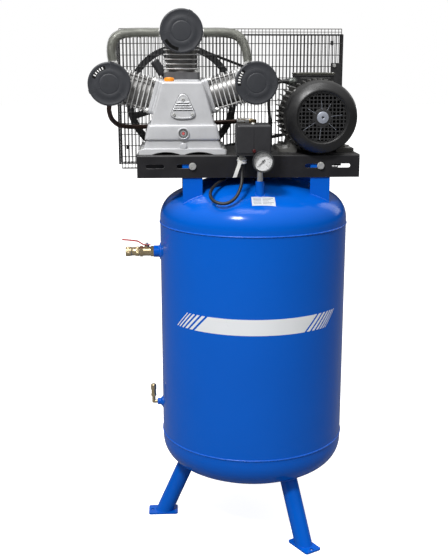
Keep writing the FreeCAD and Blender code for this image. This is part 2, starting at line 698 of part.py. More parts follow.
def cable_glands():
    """One gland under the pressure switch and one on the motor's terminal box."""
    low = hexagon(19.0, (*SWITCH_GLAND, 1254), (*SWITCH_GLAND, 1238)).fuse(
        lathe([(5.3, 0), (8.5, 0), (7.5, 14), (5.3, 16)], (*SWITCH_GLAND, 1238), (0, 0, -1)))
    low = low.cut(rod(5.3, (*SWITCH_GLAND, 1255), (*SWITCH_GLAND, 1220)))
    start = CABLE_ROUTE[0]
    wall_x = 131.0
    side = hexagon(19.0, (wall_x, start[1], start[2]), (wall_x - 13, start[1], start[2])).fuse(
        lathe([(5.3, 0), (8.5, 0), (7.5, 10), (5.3, 12)], (wall_x - 13, start[1], start[2]), (-1, 0, 0)))
    side = side.cut(rod(5.3, (wall_x + 1, start[1], start[2]), (wall_x - 30, start[1], start[2])))
    return [low, side]


def motor_cable():
    solid, length, radii = tube_along(CABLE_ROUTE, CABLE_R)
    section = math.pi * CABLE_R ** 2
    print("cable length %.0f mm, volume ratio %.4f" % (length, solid.Volume / (section * length)))
    print("cable radii", [round(r) for r in radii])
    return [solid]


# --- motor ----------------------------------------------------------------------------------
def motor_point(y, x=0.0, z=0.0):
    return MOTOR_X + x, y, MOTOR_Z + z


def motor_housing():
    """Finned stator frame with two feet rails."""
    body = rod(STATOR_R, motor_point(STATOR_Y[0]), motor_point(STATOR_Y[1]))
    fins = []
    for i in range(STATOR_FINS):
        fin = block((STATOR_BORE_R, STATOR_FIN_TIP), (STATOR_Y[0] + 1, STATOR_Y[1] - 2),
                    (-STATOR_FIN_HALF, STATOR_FIN_HALF))
        fin.rotate(vec(0, 0, 0), vec(0, 1, 0), 360.0 * (i + 0.5) / STATOR_FINS)
        fin.translate(vec(MOTOR_X, 0, MOTOR_Z))
        fins.append(fin)
    body = body.fuse(fins)
    seat = block((MOTOR_X - 62, MOTOR_X + 62), (-40, 80), (MOTOR_Z + 84, MOTOR_Z + 120))
    below = block((MOTOR_X - 130, MOTOR_X + 130), (-110, 110), (DECK_Z - 20, DECK_Z + 4))
    body = body.cut([seat, below])
    feet = []
    for side in (-1, 1):
        outline = ((62, DECK_Z), (116, DECK_Z), (116, FOOT_TOP_Z), (84, FOOT_TOP_Z), (72, MOTOR_Z - 60),
                   (62, MOTOR_Z - 60))
        feet.append(plate_xz([(MOTOR_X + side * x, z) for x, z in outline], (-88, 88)))
    body = body.fuse(feet)
    hollow = rod(STATOR_BORE_R, motor_point(STATOR_Y[0] - 1), motor_point(STATOR_Y[1] + 1))
    holes = [rod(BOLT_R + 0.5, (x, y, DECK_Z - 1), (x, y, DECK_Z + 13)) for x, y in motor_bolt_places()]
    return [body.cut([hollow] + holes)]


def motor_end_shields():
    """Bearing shields at both ends of the stator frame."""
    shields = []
    for start, direction in zip(STATOR_Y, (-1, 1)):
        bore = MOTOR_SHAFT_R + 0.5
        profile = [(bore, 0), (STATOR_R, 0), (STATOR_R, 8), (60, 14), (40, 30), (bore, 30)]
        shield = lathe(profile, motor_point(start), (0, direction, 0))
        pocket = rod(26.0, motor_point(start + direction * 6), motor_point(start + direction * 22))
        shields.append(shield.cut(pocket))
    return shields


def shaft_bearings():
    """Ball bearings, shown as plain rings: two in the motor, two on the crankshaft."""
    places = [(motor_point(-111), motor_point(-127), MOTOR_SHAFT_R),
              (motor_point(106), motor_point(122), MOTOR_SHAFT_R)]
    crank = [((PUMP_X, -136, CRANK_Z), (PUMP_X, -118, CRANK_Z), JOURNAL_R),
             ((PUMP_X, 92, CRANK_Z), (PUMP_X, 110, CRANK_Z), JOURNAL_R)]
    return [hollow_rod(26.0, inner + 0.05, start, end) for start, end, inner in places + crank]


def motor_fan_cover():
    """Pressed cowl with a square-hole air grille in its flat face."""
    profile = [(108, 0), (108, 60), (104, 72), (80, 88), (76, 86), (74, 84), (0, 84), (0, 82), (75, 82),
               (80, 84), (102, 70), (106, 59), (106, 0)]
    cowl = lathe(profile, motor_point(COWL_Y), (0, -1, 0))
    count = int(GRILLE_R / GRILLE_PITCH)
    half = GRILLE_HOLE / 2
    holes = []
    for i in range(-count, count + 1):
        for k in range(-count, count + 1):
            if GRILLE_HUB_R < math.hypot(i, k) * GRILLE_PITCH < GRILLE_R - half:
                x, z = MOTOR_X + i * GRILLE_PITCH, MOTOR_Z + k * GRILLE_PITCH
                holes.append(block((x - half, x + half), (-200, -190), (z - half, z + half)))
    return [cowl.cut(holes)]


def motor_rotor():
    """Rotor core on its stepped shaft."""
    shaft, core = MOTOR_SHAFT_R, 58
    profile = [(0, 0), (12, 0), (12, 54), (shaft, 54), (shaft, 82), (core, 82), (core, 242), (shaft, 242),
               (shaft, 372), (0, 372)]
    return [lathe(profile, motor_point(FAN_Y[0]), (0, 1, 0))]


def motor_fan():
    hub = hollow_rod(22.0, 12.0, motor_point(FAN_Y[0] + 2), motor_point(FAN_Y[1]))
    blades = []
    for i in range(FAN_BLADES):
        blade = block((20, FAN_R), FAN_Y, (-1.5, 1.5))
        blade.rotate(vec(0, 0, 0), vec(0, 1, 0), 360.0 * i / FAN_BLADES)
        blade.translate(vec(MOTOR_X, 0, MOTOR_Z))
        blades.append(blade)
    return [hub.fuse(blades).removeSplitter()]


def motor_terminal_box():
    """Connection box with its lid, on the seat above the stator."""
    low, high = MOTOR_Z + BOX_HIGH[0], MOTOR_Z + BOX_HIGH[1]
    inner = BOX_HALF - BOX_WALL
    outer = BOX_HALF + LID_LIP
    case = block((MOTOR_X - BOX_HALF, MOTOR_X + BOX_HALF), BOX_Y, (low, high))
    case = rounded_edges(case, 6.0, lambda e: runs_along(e, (0, 0, 1)))
    case = case.cut(block((MOTOR_X - inner, MOTOR_X + inner), (BOX_Y[0] + BOX_WALL, BOX_Y[1] - BOX_WALL),
                          (low + 3, high + 1)))
    cable_y, cable_z = CABLE_ROUTE[0][1:]
    case = case.cut(rod(6.0, (MOTOR_X - outer, cable_y, cable_z), (MOTOR_X - inner + 4, cable_y, cable_z)))
    case = case.cut(rod(STATOR_BORE_R, motor_point(-60), motor_point(90)))
    lid = block((MOTOR_X - outer, MOTOR_X + outer), (BOX_Y[0] - LID_LIP, BOX_Y[1] + LID_LIP),
                (high, high + LID_THICK))
    lid = rounded_edges(lid, 4.0, lambda e: e.CenterOfMass.z > high + 1)
    return [case, lid]


def groove_cutter(radius, centre, y):
    """Ring that cuts one V groove into a wheel's rim."""
    profile = [(radius - GROOVE_DEPTH, -GROOVE_FLOOR / 2), (radius - GROOVE_DEPTH, GROOVE_FLOOR / 2),
               (radius + 1, GROOVE_MOUTH / 2), (radius + 1, -GROOVE_MOUTH / 2)]
    return lathe(profile, (centre[0], y, centre[1]), (0, 1, 0))


def motor_pulley():
    wheel = hollow_rod(PULLEY_R, MOTOR_SHAFT_R, motor_point(WHEEL_Y[0]), motor_point(WHEEL_Y[1]))
    return [wheel.cut([groove_cutter(PULLEY_R, (MOTOR_X, MOTOR_Z), y) for y in BELT_Y])]


# --- pump ------------------------------------------------------------------------------------
def case_half(z):
    """Half width of the crankcase at a height."""
    return CASE_TOP_HALF + (CASE_TOP_Z - z) * CASE_SIDE_LEAN


def crankcase_body():
    outline = [(PUMP_X + s * case_half(z), z) for s, z in
               ((-1, 1262.0), (-1, CASE_TOP_Z), (1, CASE_TOP_Z), (1, 1262.0))]
    body = plate_xz(outline, CASE_Y)
    top_z = CASE_TOP_Z - 1
    body = rounded_edges(body, 9.0, lambda e: runs_along(e, (0, 1, 0)) and e.CenterOfMass.z > top_z)
    body = rounded_edges(body, 7.0, lambda e: e.CenterOfMass.y < CASE_Y[0] + 1 and e.CenterOfMass.z > 1270)
    band = [(PUMP_X + s * (case_half(z) + 3), z) for s, z in
            ((-1, BAND_Z[0]), (-1, BAND_Z[1]), (1, BAND_Z[1]), (1, BAND_Z[0]))]
    band = plate_xz(band, (CASE_Y[0] - 5, CASE_Y[1] - 2))
    band = rounded_edges(band, 4.0, lambda e: e.CenterOfMass.y < CASE_Y[0])
    return body.fuse(band)


def crankcase_foot():
    """Spreading base with two shallow arches below."""
    corners = ((-133.5, DECK_Z), (-133.5, 1261), (-118, 1267), (118, 1267), (133.5, 1261), (133.5, DECK_Z))
    foot = plate_xz([(PUMP_X + x, z) for x, z in corners], (CASE_Y[0] - 6, CASE_Y[1] + 5))
    foot = rounded_edges(foot, 8.0, lambda e: runs_along(e, (0, 0, 1)))
    rise, half_span = 8.0, 44.0
    arch_r = (half_span ** 2 + rise ** 2) / (2 * rise)
    arches = [rod(arch_r, (PUMP_X + x, CASE_Y[0] - 10, DECK_Z + rise - arch_r),
                  (PUMP_X + x, CASE_Y[1] + 10, DECK_Z + rise - arch_r)) for x in (-50, 50)]
    return foot.cut(arches)


def foot_bolt_pockets():
    """Spot faces and holes for the four bolts that hold the pump down."""
    pockets = []
    for x, y in pump_bolt_places():
        pockets.append(rod(BOLT_R + 0.5, (x, y, DECK_Z - 1), (x, y, 1275)))
        pockets.append(rod(12.0, (x, y, FOOT_TOP_Z), (x, y, 1288)))
    return pockets


def crankcase():
    """Cast case: leaning sides, three cylinder seats, a bearing boss in its front wall."""
    whole = crankcase_body().fuse(crankcase_foot()).cut(foot_bolt_pockets())
    seat = block((-54, 54), (-54, 54), (66, SEAT_REACH))
    seat = rounded_edges(seat, 10.0, lambda e: runs_along(e, (0, 0, 1)))
    whole = whole.fuse([on_bank(seat, side) for side in BANK_ANGLES])
    inner = [(PUMP_X + s * (case_half(z) - CASE_WALL - 2), z) for s, z in
             ((-1, 1282.0), (-1, CASE_TOP_Z - CASE_WALL), (1, CASE_TOP_Z - CASE_WALL), (1, 1282.0))]
    whole = whole.cut(plate_xz(inner, (CASE_Y[0] + CASE_WALL, CASE_Y[1] + 1)))
    opening = rod(BORE_R + 1.2, (0, 0, 58), (0, 0, SEAT_REACH + 1))
    whole = whole.cut([on_bank(opening, side) for side in BANK_ANGLES])
    studs = stud_holes(70, SEAT_REACH + 1)
    whole = whole.cut([on_bank(hole, side) for side in BANK_ANGLES for hole in studs])
    boss = rod(34.0, (PUMP_X, CASE_Y[0] + CASE_WALL - 1, CRANK_Z), (PUMP_X, -116, CRANK_Z))
    whole = whole.fuse(boss)
    pocket = rod(26.0, (PUMP_X, -136, CRANK_Z), (PUMP_X, -115, CRANK_Z))
    ports = [rod(9.0, (PUMP_X, CASE_Y[0] - 10, SIGHT_GLASS_Z), (PUMP_X, CASE_Y[0] + 12, SIGHT_GLASS_Z)),
             rod(5.0, (PUMP_X, CASE_Y[0] - 10, DRAIN_PLUG_Z), (PUMP_X, CASE_Y[0] + 5, DRAIN_PLUG_Z)),
             rod(9.0, (*FILLER, CASE_TOP_Z - 15), (*FILLER, CASE_TOP_Z + 5))]
    return [whole.cut([pocket] + ports).removeSplitter()]


def rear_bearing_housing():
    """Cover plate with the rear main bearing, behind the crankcase."""
    outline = [(PUMP_X + s * (case_half(z) - 4), z) for s, z in
               ((-1, 1272.0), (-1, CASE_TOP_Z - 4), (1, CASE_TOP_Z - 4), (1, 1272.0))]
    plate = plate_xz(outline, (CASE_Y[1], CASE_Y[1] + 7))
    hub = lathe([(0, 0), (46, 0), (36, 30), (36, 36), (0, 36)], (PUMP_X, CASE_Y[1] + 7, CRANK_Z), (0, 1, 0))
    whole = plate.fuse(hub).cut(rod(26.0, (PUMP_X, 84, CRANK_Z), (PUMP_X, 110, CRANK_Z)))
    return [whole.cut(rod(JOURNAL_R + 0.6, (PUMP_X, 100, CRANK_Z), (PUMP_X, 140, CRANK_Z)))]


def crankshaft():
    """Two round webs and one pin, pin at the bottom of its turn."""
    pin_z = CRANK_Z - THROW
    front_web = rod(35.0, (PUMP_X, CRANKPIN_Y - 37, CRANK_Z), (PUMP_X, CRANKPIN_Y - 23.5, CRANK_Z))
    rear_web = rod(35.0, (PUMP_X, CRANKPIN_Y + 23.5, CRANK_Z), (PUMP_X, CRANKPIN_Y + 37, CRANK_Z))
    pin = rod(CRANKPIN_R, (PUMP_X, CRANKPIN_Y - 30, pin_z), (PUMP_X, CRANKPIN_Y + 30, pin_z))
    front = rod(JOURNAL_R, (PUMP_X, -134, CRANK_Z), (PUMP_X, CRANKPIN_Y - 30, CRANK_Z))
    rear = rod(JOURNAL_R, (PUMP_X, CRANKPIN_Y + 30, CRANK_Z), (PUMP_X, 220, CRANK_Z))
    return [front_web.fuse([rear_web, pin, front, rear]).removeSplitter()]


def connecting_rod(side):
    """Rod from the crankpin towards its cylinder, with the wrist pin in its small end."""
    half = ROD_THICK / 2.0
    big = rod(19.0, (0, -half, 0), (0, half, 0))
    small = rod(12.0, (0, -half, ROD_LENGTH), (0, half, ROD_LENGTH))
    shank = block((-7, 7), (-half + 2, half - 2), (10, ROD_LENGTH - 5))
    wrist_pin = rod(WRIST_PIN_R, (0, -20, ROD_LENGTH), (0, 20, ROD_LENGTH))
    whole = big.fuse([small, shank, wrist_pin]).cut(rod(CRANKPIN_R + 0.06, (0, -20, 0), (0, 20, 0)))
    whole.rotate(vec(0, 0, 0), vec(0, 1, 0), BANK_ANGLES[side])
    whole.translate(vec(PUMP_X, BANK_Y[side], CRANK_Z - THROW))
    return [whole.removeSplitter()]


def piston(side):
    """Cup piston with three ring grooves, placed for the crankpin at its lowest point."""
    pin_reach = ROD_LENGTH - THROW * math.cos(math.radians(BANK_ANGLES[side]))
    top, skirt = pin_reach + PISTON_TOP, pin_reach - PISTON_SKIRT
    profile = [(0, top - 5), (37, top - 5), (37, skirt), (PISTON_R, skirt)]
    for ring in (22.0, 14.0, 6.0):
        profile += [(PISTON_R, top - ring), (PISTON_R - 2, top - ring), (PISTON_R - 2, top - ring + 3),
                    (PISTON_R, top - ring + 3)]
    profile += [(PISTON_R, top), (0, top)]
    return [on_bank(lathe(profile, (0, 0, 0), (0, 0, 1)), side)]


def stud_holes(low, high, radius=4.5):
    places = [(x, y) for x in (-STUD_OFFSET, STUD_OFFSET) for y in (-STUD_OFFSET, STUD_OFFSET)]
    return [rod(radius, (x, y, low), (x, y, high)) for x, y in places]


def cylinders():
    """Finned barrels, one on each seat."""
    flange = block((-54, 54), (-54, 54), (SEAT_REACH, SEAT_REACH + 10))
    flange = rounded_edges(flange, 10.0, lambda e: runs_along(e, (0, 0, 1)))
    barrel = rod(49.0, (0, 0, SEAT_REACH), (0, 0, BARREL_END))
    deck = block((-HEAD_HALF, HEAD_HALF), (-HEAD_HALF, HEAD_HALF), (BARREL_END - 6, BARREL_END))
    fins = []
    for i in range(FIN_COUNT):
        low = SEAT_REACH + 20 + i * FIN_PITCH
        fin = block((-FIN_HALF, FIN_HALF), (-FIN_HALF, FIN_HALF), (low, low + 2.5))
        fins.append(rounded_edges(fin, 12.0, lambda e: runs_along(e, (0, 0, 1))))
    whole = flange.fuse([barrel, deck] + fins)
    whole = whole.cut([rod(BORE_R, (0, 0, SEAT_REACH - 1), (0, 0, BARREL_END + 1))])
    whole = whole.cut(stud_holes(SEAT_REACH - 1, BARREL_END + 1))
    return [on_bank(whole, side) for side in BANK_ANGLES]


def head_ports(side):
    """Side holes of a head as (distance along the bank, side of the head)."""
    return {"left": ((230, 1), (214, -1)), "top": ((212, -1), (212, 1)), "right": ((230, -1),)}[side]


def cylinder_heads():
    """Valve plate and ribbed head on each cylinder."""
    heads = []
    for side in BANK_ANGLES:
        plate = block((-HEAD_HALF, HEAD_HALF), (-HEAD_HALF, HEAD_HALF), (BARREL_END, HEAD_START))
        head = block((-HEAD_HALF, HEAD_HALF), (-HEAD_HALF, HEAD_HALF), (HEAD_START, HEAD_END))
        head = rounded_edges(head, 6.0, lambda e: runs_along(e, (0, 0, 1)))
        cuts = [block((x - 3, x + 3), (-60, 60), (HEAD_END - 16, HEAD_END + 1)) for x in range(-32, 33, 16)]
        cuts += [block((-36, 36), y_span, (HEAD_START - 1, 210)) for y_span in ((-36, -3), (3, 36))]
        cuts += stud_holes(BARREL_END - 1, HEAD_END + 1)
        for reach, across in head_ports(side):
            cuts.append(rod(7.0, (across * 40, 0, reach), (across * 60, 0, reach)))
        valve_holes = [rod(6.0, (0, y, BARREL_END - 1), (0, y, HEAD_START + 1)) for y in (-20, 20)]
        plate = plate.cut(valve_holes + stud_holes(BARREL_END - 1, HEAD_START + 1))
        heads += [on_bank(plate, side), on_bank(head.cut(cuts), side)]
    return heads


def head_bolts():
    """Long bolts that clamp head, valve plate and barrel to the crankcase."""
    bolts = []
    for side in BANK_ANGLES:
        for stud in stud_holes(71, HEAD_END, radius=4.0):
            centre = stud.CenterOfMass
            head = hexagon(13.0, (centre.x, centre.y, HEAD_END), (centre.x, centre.y, HEAD_END + 7))
            bolts.append(on_bank(stud.fuse(head), side))
    return bolts


def air_filters():
    """Round intake silencers in front of the heads, each on a short neck."""
    filters = []
    for side in BANK_ANGLES:
        x, y, z = bank_point(side, FILTER_REACH[side])
        depth = FILTER_BACK_Y - FILTER_FRONT_Y
        profile = [(0, -1), (18, -1), (18, 0), (60, 0), (FILTER_R - 2, 3), (FILTER_R - 2, 24),
                   (FILTER_R, 26), (FILTER_R, depth - 5), (60, depth - 1), (44, depth - 1),
                   (42, depth), (0, depth)]
        drum = lathe(profile, (x, FILTER_BACK_Y, z), (0, -1, 0))
        head_front = y - HEAD_HALF
        if head_front > FILTER_BACK_Y:
            drum = drum.fuse(rod(18.0, (x, FILTER_BACK_Y - 1, z), (x, head_front, z)))
        filters.append(drum.cut(on_bank(block((-53, 53), (-HEAD_HALF, 60), (180, 250)), side)))
    return filters


def cover_outline():
    """Half outline of the louvred cover as (offset from the pump's centre, height), bottom to top."""
    return ((0.0, 1357.5), (20.0, 1359.0), (38.0, 1364.0), (38.0, 1378.0), (9.0, 1432.0), (0.0, 1434.0))


def breather_cover():
    """Louvred three-cornered cover with three screws, on the crankcase front."""
    half = cover_outline()
    outline = [(PUMP_X + x, z) for x, z in half] + [(PUMP_X - x, z) for x, z in reversed(half[1:-1])]
    plate = plate_xz(outline, (CASE_Y[0] - 6, CASE_Y[0]))
    plate = rounded_edges(plate, 5.0,
                          lambda e: runs_along(e, (0, 1, 0)) and abs(e.CenterOfMass.x - PUMP_X) > 30)
    slots = []
    for i in range(COVER_SLOTS):
        z = COVER_SLOT_Z + COVER_SLOT_PITCH * i
        reach = 31.0 - 4.2 * i
        slots.append(block((PUMP_X - reach, PUMP_X + reach), (CASE_Y[0] - 7, CASE_Y[0] - 3), (z, z + 2.6)))
    screws = [rod(4.0, (PUMP_X + x, CASE_Y[0] - 1, z), (PUMP_X + x, CASE_Y[0] - 8.5, z))
              for x, z in COVER_SCREWS]
    return [plate.cut(slots).fuse(screws)]


def sight_glass():
    """Oil level glass in a round bezel."""
    y = CASE_Y[0] - 5
    profile = [(0, -10), (8.8, -10), (8.8, 0), (18, 0), (18, 4), (15, 6), (12, 3.5), (0, 3.5)]
    return [lathe(profile, (PUMP_X, y, SIGHT_GLASS_Z), (0, -1, 0))]


def oil_drain_plug():
    profile = [(0, -3.5), (4.8, -3.5), (4.8, 0), (10.5, 0), (10.5, 5), (9, 6.5), (0, 6.5)]
    return [lathe(profile, (PUMP_X, CASE_Y[0] - 0.2, DRAIN_PLUG_Z), (0, -1, 0))]


def oil_filler_cap():
    profile = [(0, -6), (8.8, -6), (8.8, 0), (15, 0), (15, 10), (12, 14), (0, 14)]
    return [lathe(profile, (*FILLER, CASE_TOP_Z), (0, 0, 1))]


def breather_filter():
    """Leaning crankcase breather behind the upper cylinder."""
    profile = [(0, -4), (7, -4), (7, 22), (14, 24), (14, 68), (11, 72), (0, 72)]
    filter_body = lathe(profile, (-272, 52, CASE_TOP_Z), (-0.55, 0, 0.835))
    return [filter_body.cut(block((-300, -230), (30, 80), (1440, CASE_TOP_Z)))]


def head_bulk(side):
    """Room that a cylinder head takes up, as one block."""
    return on_bank(block((-HEAD_HALF, HEAD_HALF), (-HEAD_HALF, HEAD_HALF), (180, 260)), side)


def finned_pipes():
    """Interstage pipes from the upper head down to the side heads."""
    left_head = bank_point("left", 230, HEAD_HALF)
    right_head = bank_point("right", 230, -HEAD_HALF)
    top_left = bank_point("top", 212, -HEAD_HALF)
    top_right = bank_point("top", 212, HEAD_HALF)
    left = (left_head, (-441, -44, 1556), (-430, -39, 1596), (-390, -32, 1609), top_left)
    right = (right_head, (-25, -16, 1558), (-44, -20, 1598), (-86, -27, 1610), top_right)
    pipes = []
    for route, ends in ((left, ("left", "top")), (right, ("right", "top"))):
        pipe = pipe_along(route, FINNED_PIPE_R, FINNED_PIPE_BORE)
        pipes.append(pipe.cut([head_bulk(end) for end in ends]))
    return pipes


def discharge_pipe():
    """Delivery pipe from the left head, behind the crankcase, to the check valve."""
    start = bank_point("left", 214, -HEAD_HALF)
    route = (start, (-452, -40, 1380), (-448, -5, 1348), (-428, 42, 1324), (-388, 92, 1316),
             (-340, 112, 1316), (CHECK_VALVE[0] - DELIVERY_NUT[0], CHECK_VALVE[1], DELIVERY_Z))
    pipe = pipe_along(route, 7.5, 5.5)
    return [pipe.cut(head_bulk("left"))]


def check_valve():
    """Compression nut, elbow and spring check valve standing on the upper head."""
    x, y = CHECK_VALVE
    z = DELIVERY_Z
    pipe_end, elbow_end = x - DELIVERY_NUT[0], x - DELIVERY_NUT[1]
    nut = hexagon(20.0, (pipe_end, y, z), (elbow_end, y, z))
    elbow = rod(9.0, (elbow_end, y, z), (x, y, z))
    neck = rod(11.0, (x, y, z + 6), (x, y, 1230))
    body = hexagon(27.0, (x, y, 1188), (x, y, 1230))
    whole = elbow.fuse([nut, neck, body]).removeSplitter()
    return [whole.cut([rod(7.0, (pipe_end - 1, y, z), (x, y, z)), rod(7.0, (x, y, z), (x, y, 1187))])]


def flywheel():
    """Grooved rim, arms and a hub on the crankshaft."""
    centre = (PUMP_X, CRANK_Z)
    front, back = (PUMP_X, WHEEL_Y[0], CRANK_Z), (PUMP_X, WHEEL_Y[1], CRANK_Z)
    inner_r = FLYWHEEL_R - FLYWHEEL_RIM
    rim = hollow_rod(FLYWHEEL_R, inner_r, front, back)
    hub = rod(32.0, front, back)
    arms = []
    for i in range(FLYWHEEL_ARMS):
        arm = block((25, inner_r + 2), (WHEEL_Y[0] + 14, WHEEL_Y[1] - 14), (-10, 10))
        arm.rotate(vec(0, 0, 0), vec(0, 1, 0), FLYWHEEL_ARM_TURN + 360.0 * i / FLYWHEEL_ARMS)
        arm.translate(vec(PUMP_X, 0, CRANK_Z))
        arms.append(arm)
    whole = rim.fuse([hub] + arms).removeSplitter()
    whole = whole.cut([groove_cutter(FLYWHEEL_R, centre, y) for y in BELT_Y])
    return [whole.cut(rod(JOURNAL_R, (PUMP_X, 160, CRANK_Z), (PUMP_X, 225, CRANK_Z)))]


def belt_loop(big_r, small_r, y):
    """Closed belt line round both wheels: two tangents and two arcs."""
    run_x, run_z = MOTOR_X - PUMP_X, MOTOR_Z - CRANK_Z
    heading = math.atan2(run_z, run_x)
    wrap = math.acos((big_r - small_r) / math.hypot(run_x, run_z))

    def on_wheel(x, z, radius, angle):
        return vec(x + radius * math.cos(angle), y, z + radius * math.sin(angle))

    big = [on_wheel(PUMP_X, CRANK_Z, big_r, heading + a) for a in (wrap, math.pi, -wrap)]
    small = [on_wheel(MOTOR_X, MOTOR_Z, small_r, heading + a) for a in (-wrap, 0.0, wrap)]
    return Part.Wire([Part.Arc(*big).toShape(), Part.makeLine(big[2], small[0]), Part.Arc(*small).toShape(),
                      Part.makeLine(small[2], big[0])])


def v_belts():
    belts = []
    for y in BELT_Y:
        outer = Part.Face(belt_loop(FLYWHEEL_R - BELT_INSET, PULLEY_R - BELT_INSET, y - BELT_WIDE / 2))
        inset = BELT_INSET + BELT_DEPTH
        inner = Part.Face(belt_loop(FLYWHEEL_R - inset, PULLEY_R - inset, y - BELT_WIDE / 2))
        belts.append(outer.cut(inner).extrude(vec(0, BELT_WIDE, 0)).Solids[0])
    return belts


# --- guard --------------------------------------------------------------------------------------
def rectangle(x0, x1, z0, z1, y):
    corners = [vec(x, y, z) for x, z in ((x0, z0), (x1, z0), (x1, z1), (x0, z1), (x0, z0))]
    return Part.makePolygon(corners)


def grille(extent, y_span, columns, rows):
    """Flat welded grille: a plate with one rectangular opening per mesh cell."""
    x0, x1, z0, z1 = extent
    cell_x, cell_z = (x1 - x0 - WIRE) / columns, (z1 - z0 - WIRE) / rows
    outlines = [rectangle(x0, x1, z0, z1, y_span[0])]
    for i in range(columns):
        for k in range(rows):
            low_x, low_z = x0 + WIRE + i * cell_x, z0 + WIRE + k * cell_z
            high_x, high_z = low_x + cell_x - WIRE, low_z + cell_z - WIRE
            outlines.append(rectangle(low_x, high_x, low_z, high_z, y_span[0]))
    plate = Part.makeFace(outlines, "Part::FaceMakerBullseye")
    return plate.extrude(vec(0, y_span[1] - y_span[0], 0))


def guard_front_grille():
    """Near panel, with room for the crankshaft, the motor shaft and the rear flange bolts."""
    panel = grille(GUARD_NEAR, GUARD_NEAR_Y, 33, 7)
    openings = [(PUMP_X, CRANK_Z, CRANK_OPENING_R), (MOTOR_X, MOTOR_Z, CRANK_OPENING_R)]
    openings += [(x, BRACKET_BOLT_Z, BOLT_OPENING_R) for x in BRACKET_X]
    holes = [rod(radius, (x, 150, z), (x, 170, z)) for x, z, radius in openings]
    return [max(panel.cut(holes).Solids, key=lambda s: s.Volume)]


def guard_rear_grille():
    return [grille(GUARD_FAR, GUARD_FAR_Y, 33, 8)]


def guard_frame():
    """Four edge strips that join the two panels."""
    y_span = (GUARD_NEAR_Y[1], GUARD_FAR_Y[0])
    x0, x1, z0, z1 = GUARD_NEAR
    x0 += 5.0
    left = block((x0, x0 + 2), y_span, (z0 + 2, z1 - 2))
    right = block((x1 - 10, x1 - 1), y_span, (z0 + 2, z1 - 2))
    top = block((x0 + 2, x1 - 10), y_span, (z1 - 4, z1 - 2))
    low = block((x0 + 2, x1 - 10), y_span, (z0 + 2, z0 + 4))
    return [left, right, top, low, guard_bracket()]


def guard_bracket():
    """Flat upright that carries the guard from the platform."""
    post = block(POST_X, POST_Y, (DECK_Z, POST_TOP_Z))
    foot = block(POST_X, (125, POST_Y[1]), (DECK_Z, DECK_Z + 5))
    screw_x, screw_z = 285.0, POST_TOP_Z - 18.0
    head = rod(6.0, (screw_x, POST_Y[0] - 6, screw_z), (screw_x, POST_Y[0], screw_z))
    tie = rod(4.0, (screw_x, POST_Y[1], screw_z), (screw_x, GUARD_NEAR_Y[0], screw_z))
    return post.fuse([foot, head, tie])


NODES = {
    "tank_shell": tank_shell, "tank_heads": tank_heads, "tank_bosses": tank_bosses, "tank_legs": tank_legs,
    "base_platform": base_platform, "platform_brackets": platform_brackets,
    "platform_bolts": platform_bolts, "outlet_valve_body": outlet_valve_body,
    "outlet_valve_ball": outlet_valve_ball, "outlet_valve_lever": outlet_valve_lever,
    "outlet_coupling": outlet_coupling, "safety_valve_body": safety_valve_body,
    "safety_valve_cap": safety_valve_cap, "drain_valve_body": drain_valve_body,
    "drain_valve_knob": drain_valve_knob, "riser_pipe": riser_pipe, "switch_manifold": switch_manifold,
    "switch_base": switch_base, "switch_cover": switch_cover, "switch_button": switch_button,
    "gauge_case": gauge_case, "gauge_dial": gauge_dial, "gauge_needle": gauge_needle,
    "gauge_lens": gauge_lens,
    "cable_glands": cable_glands, "motor_cable": motor_cable, "motor_housing": motor_housing,
    "motor_end_shields": motor_end_shields, "shaft_bearings": shaft_bearings,
    "motor_fan_cover": motor_fan_cover, "motor_rotor": motor_rotor, "motor_fan": motor_fan,
    "motor_terminal_box": motor_terminal_box, "motor_pulley": motor_pulley, "crankcase": crankcase,
    "rear_bearing_housing": rear_bearing_housing, "crankshaft": crankshaft, "cylinders": cylinders,
    "cylinder_heads": cylinder_heads, "head_bolts": head_bolts, "air_filters": air_filters,
    "breather_cover": breather_cover, "sight_glass": sight_glass, "oil_drain_plug": oil_drain_plug,
    "oil_filler_cap": oil_filler_cap, "breather_filter": breather_filter, "finned_pipes": finned_pipes,
    "discharge_pipe": discharge_pipe, "check_valve": check_valve, "flywheel": flywheel, "v_belts": v_belts,
    "guard_front_grille": guard_front_grille, "guard_rear_grille": guard_rear_grille,
    "guard_frame": guard_frame,
}


def write(name, solids):
    shape = solids[0] if len(solids) == 1 else Part.makeCompound(solids)
    count = len(shape.Solids)
    if count != len(solids) or not shape.isValid():
        print("CHECK", name, "expected", len(solids), "solids, found", count, "valid", shape.isValid())
    shape.exportStep("parts/%s.step" % name)


os.makedirs("parts", exist_ok=True)
for node_name, make in NODES.items():
    write(node_name, make())
for bank in BANK_ANGLES:
    write("connecting_rod_" + bank, connecting_rod(bank))
    write("piston_" + bank, piston(bank))
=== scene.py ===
import json
import random
from math import acos, atan2, copysign, cos, hypot, pi, radians, sin, sqrt, tan

import bmesh
import bpy
from mathutils import Matrix, Vector


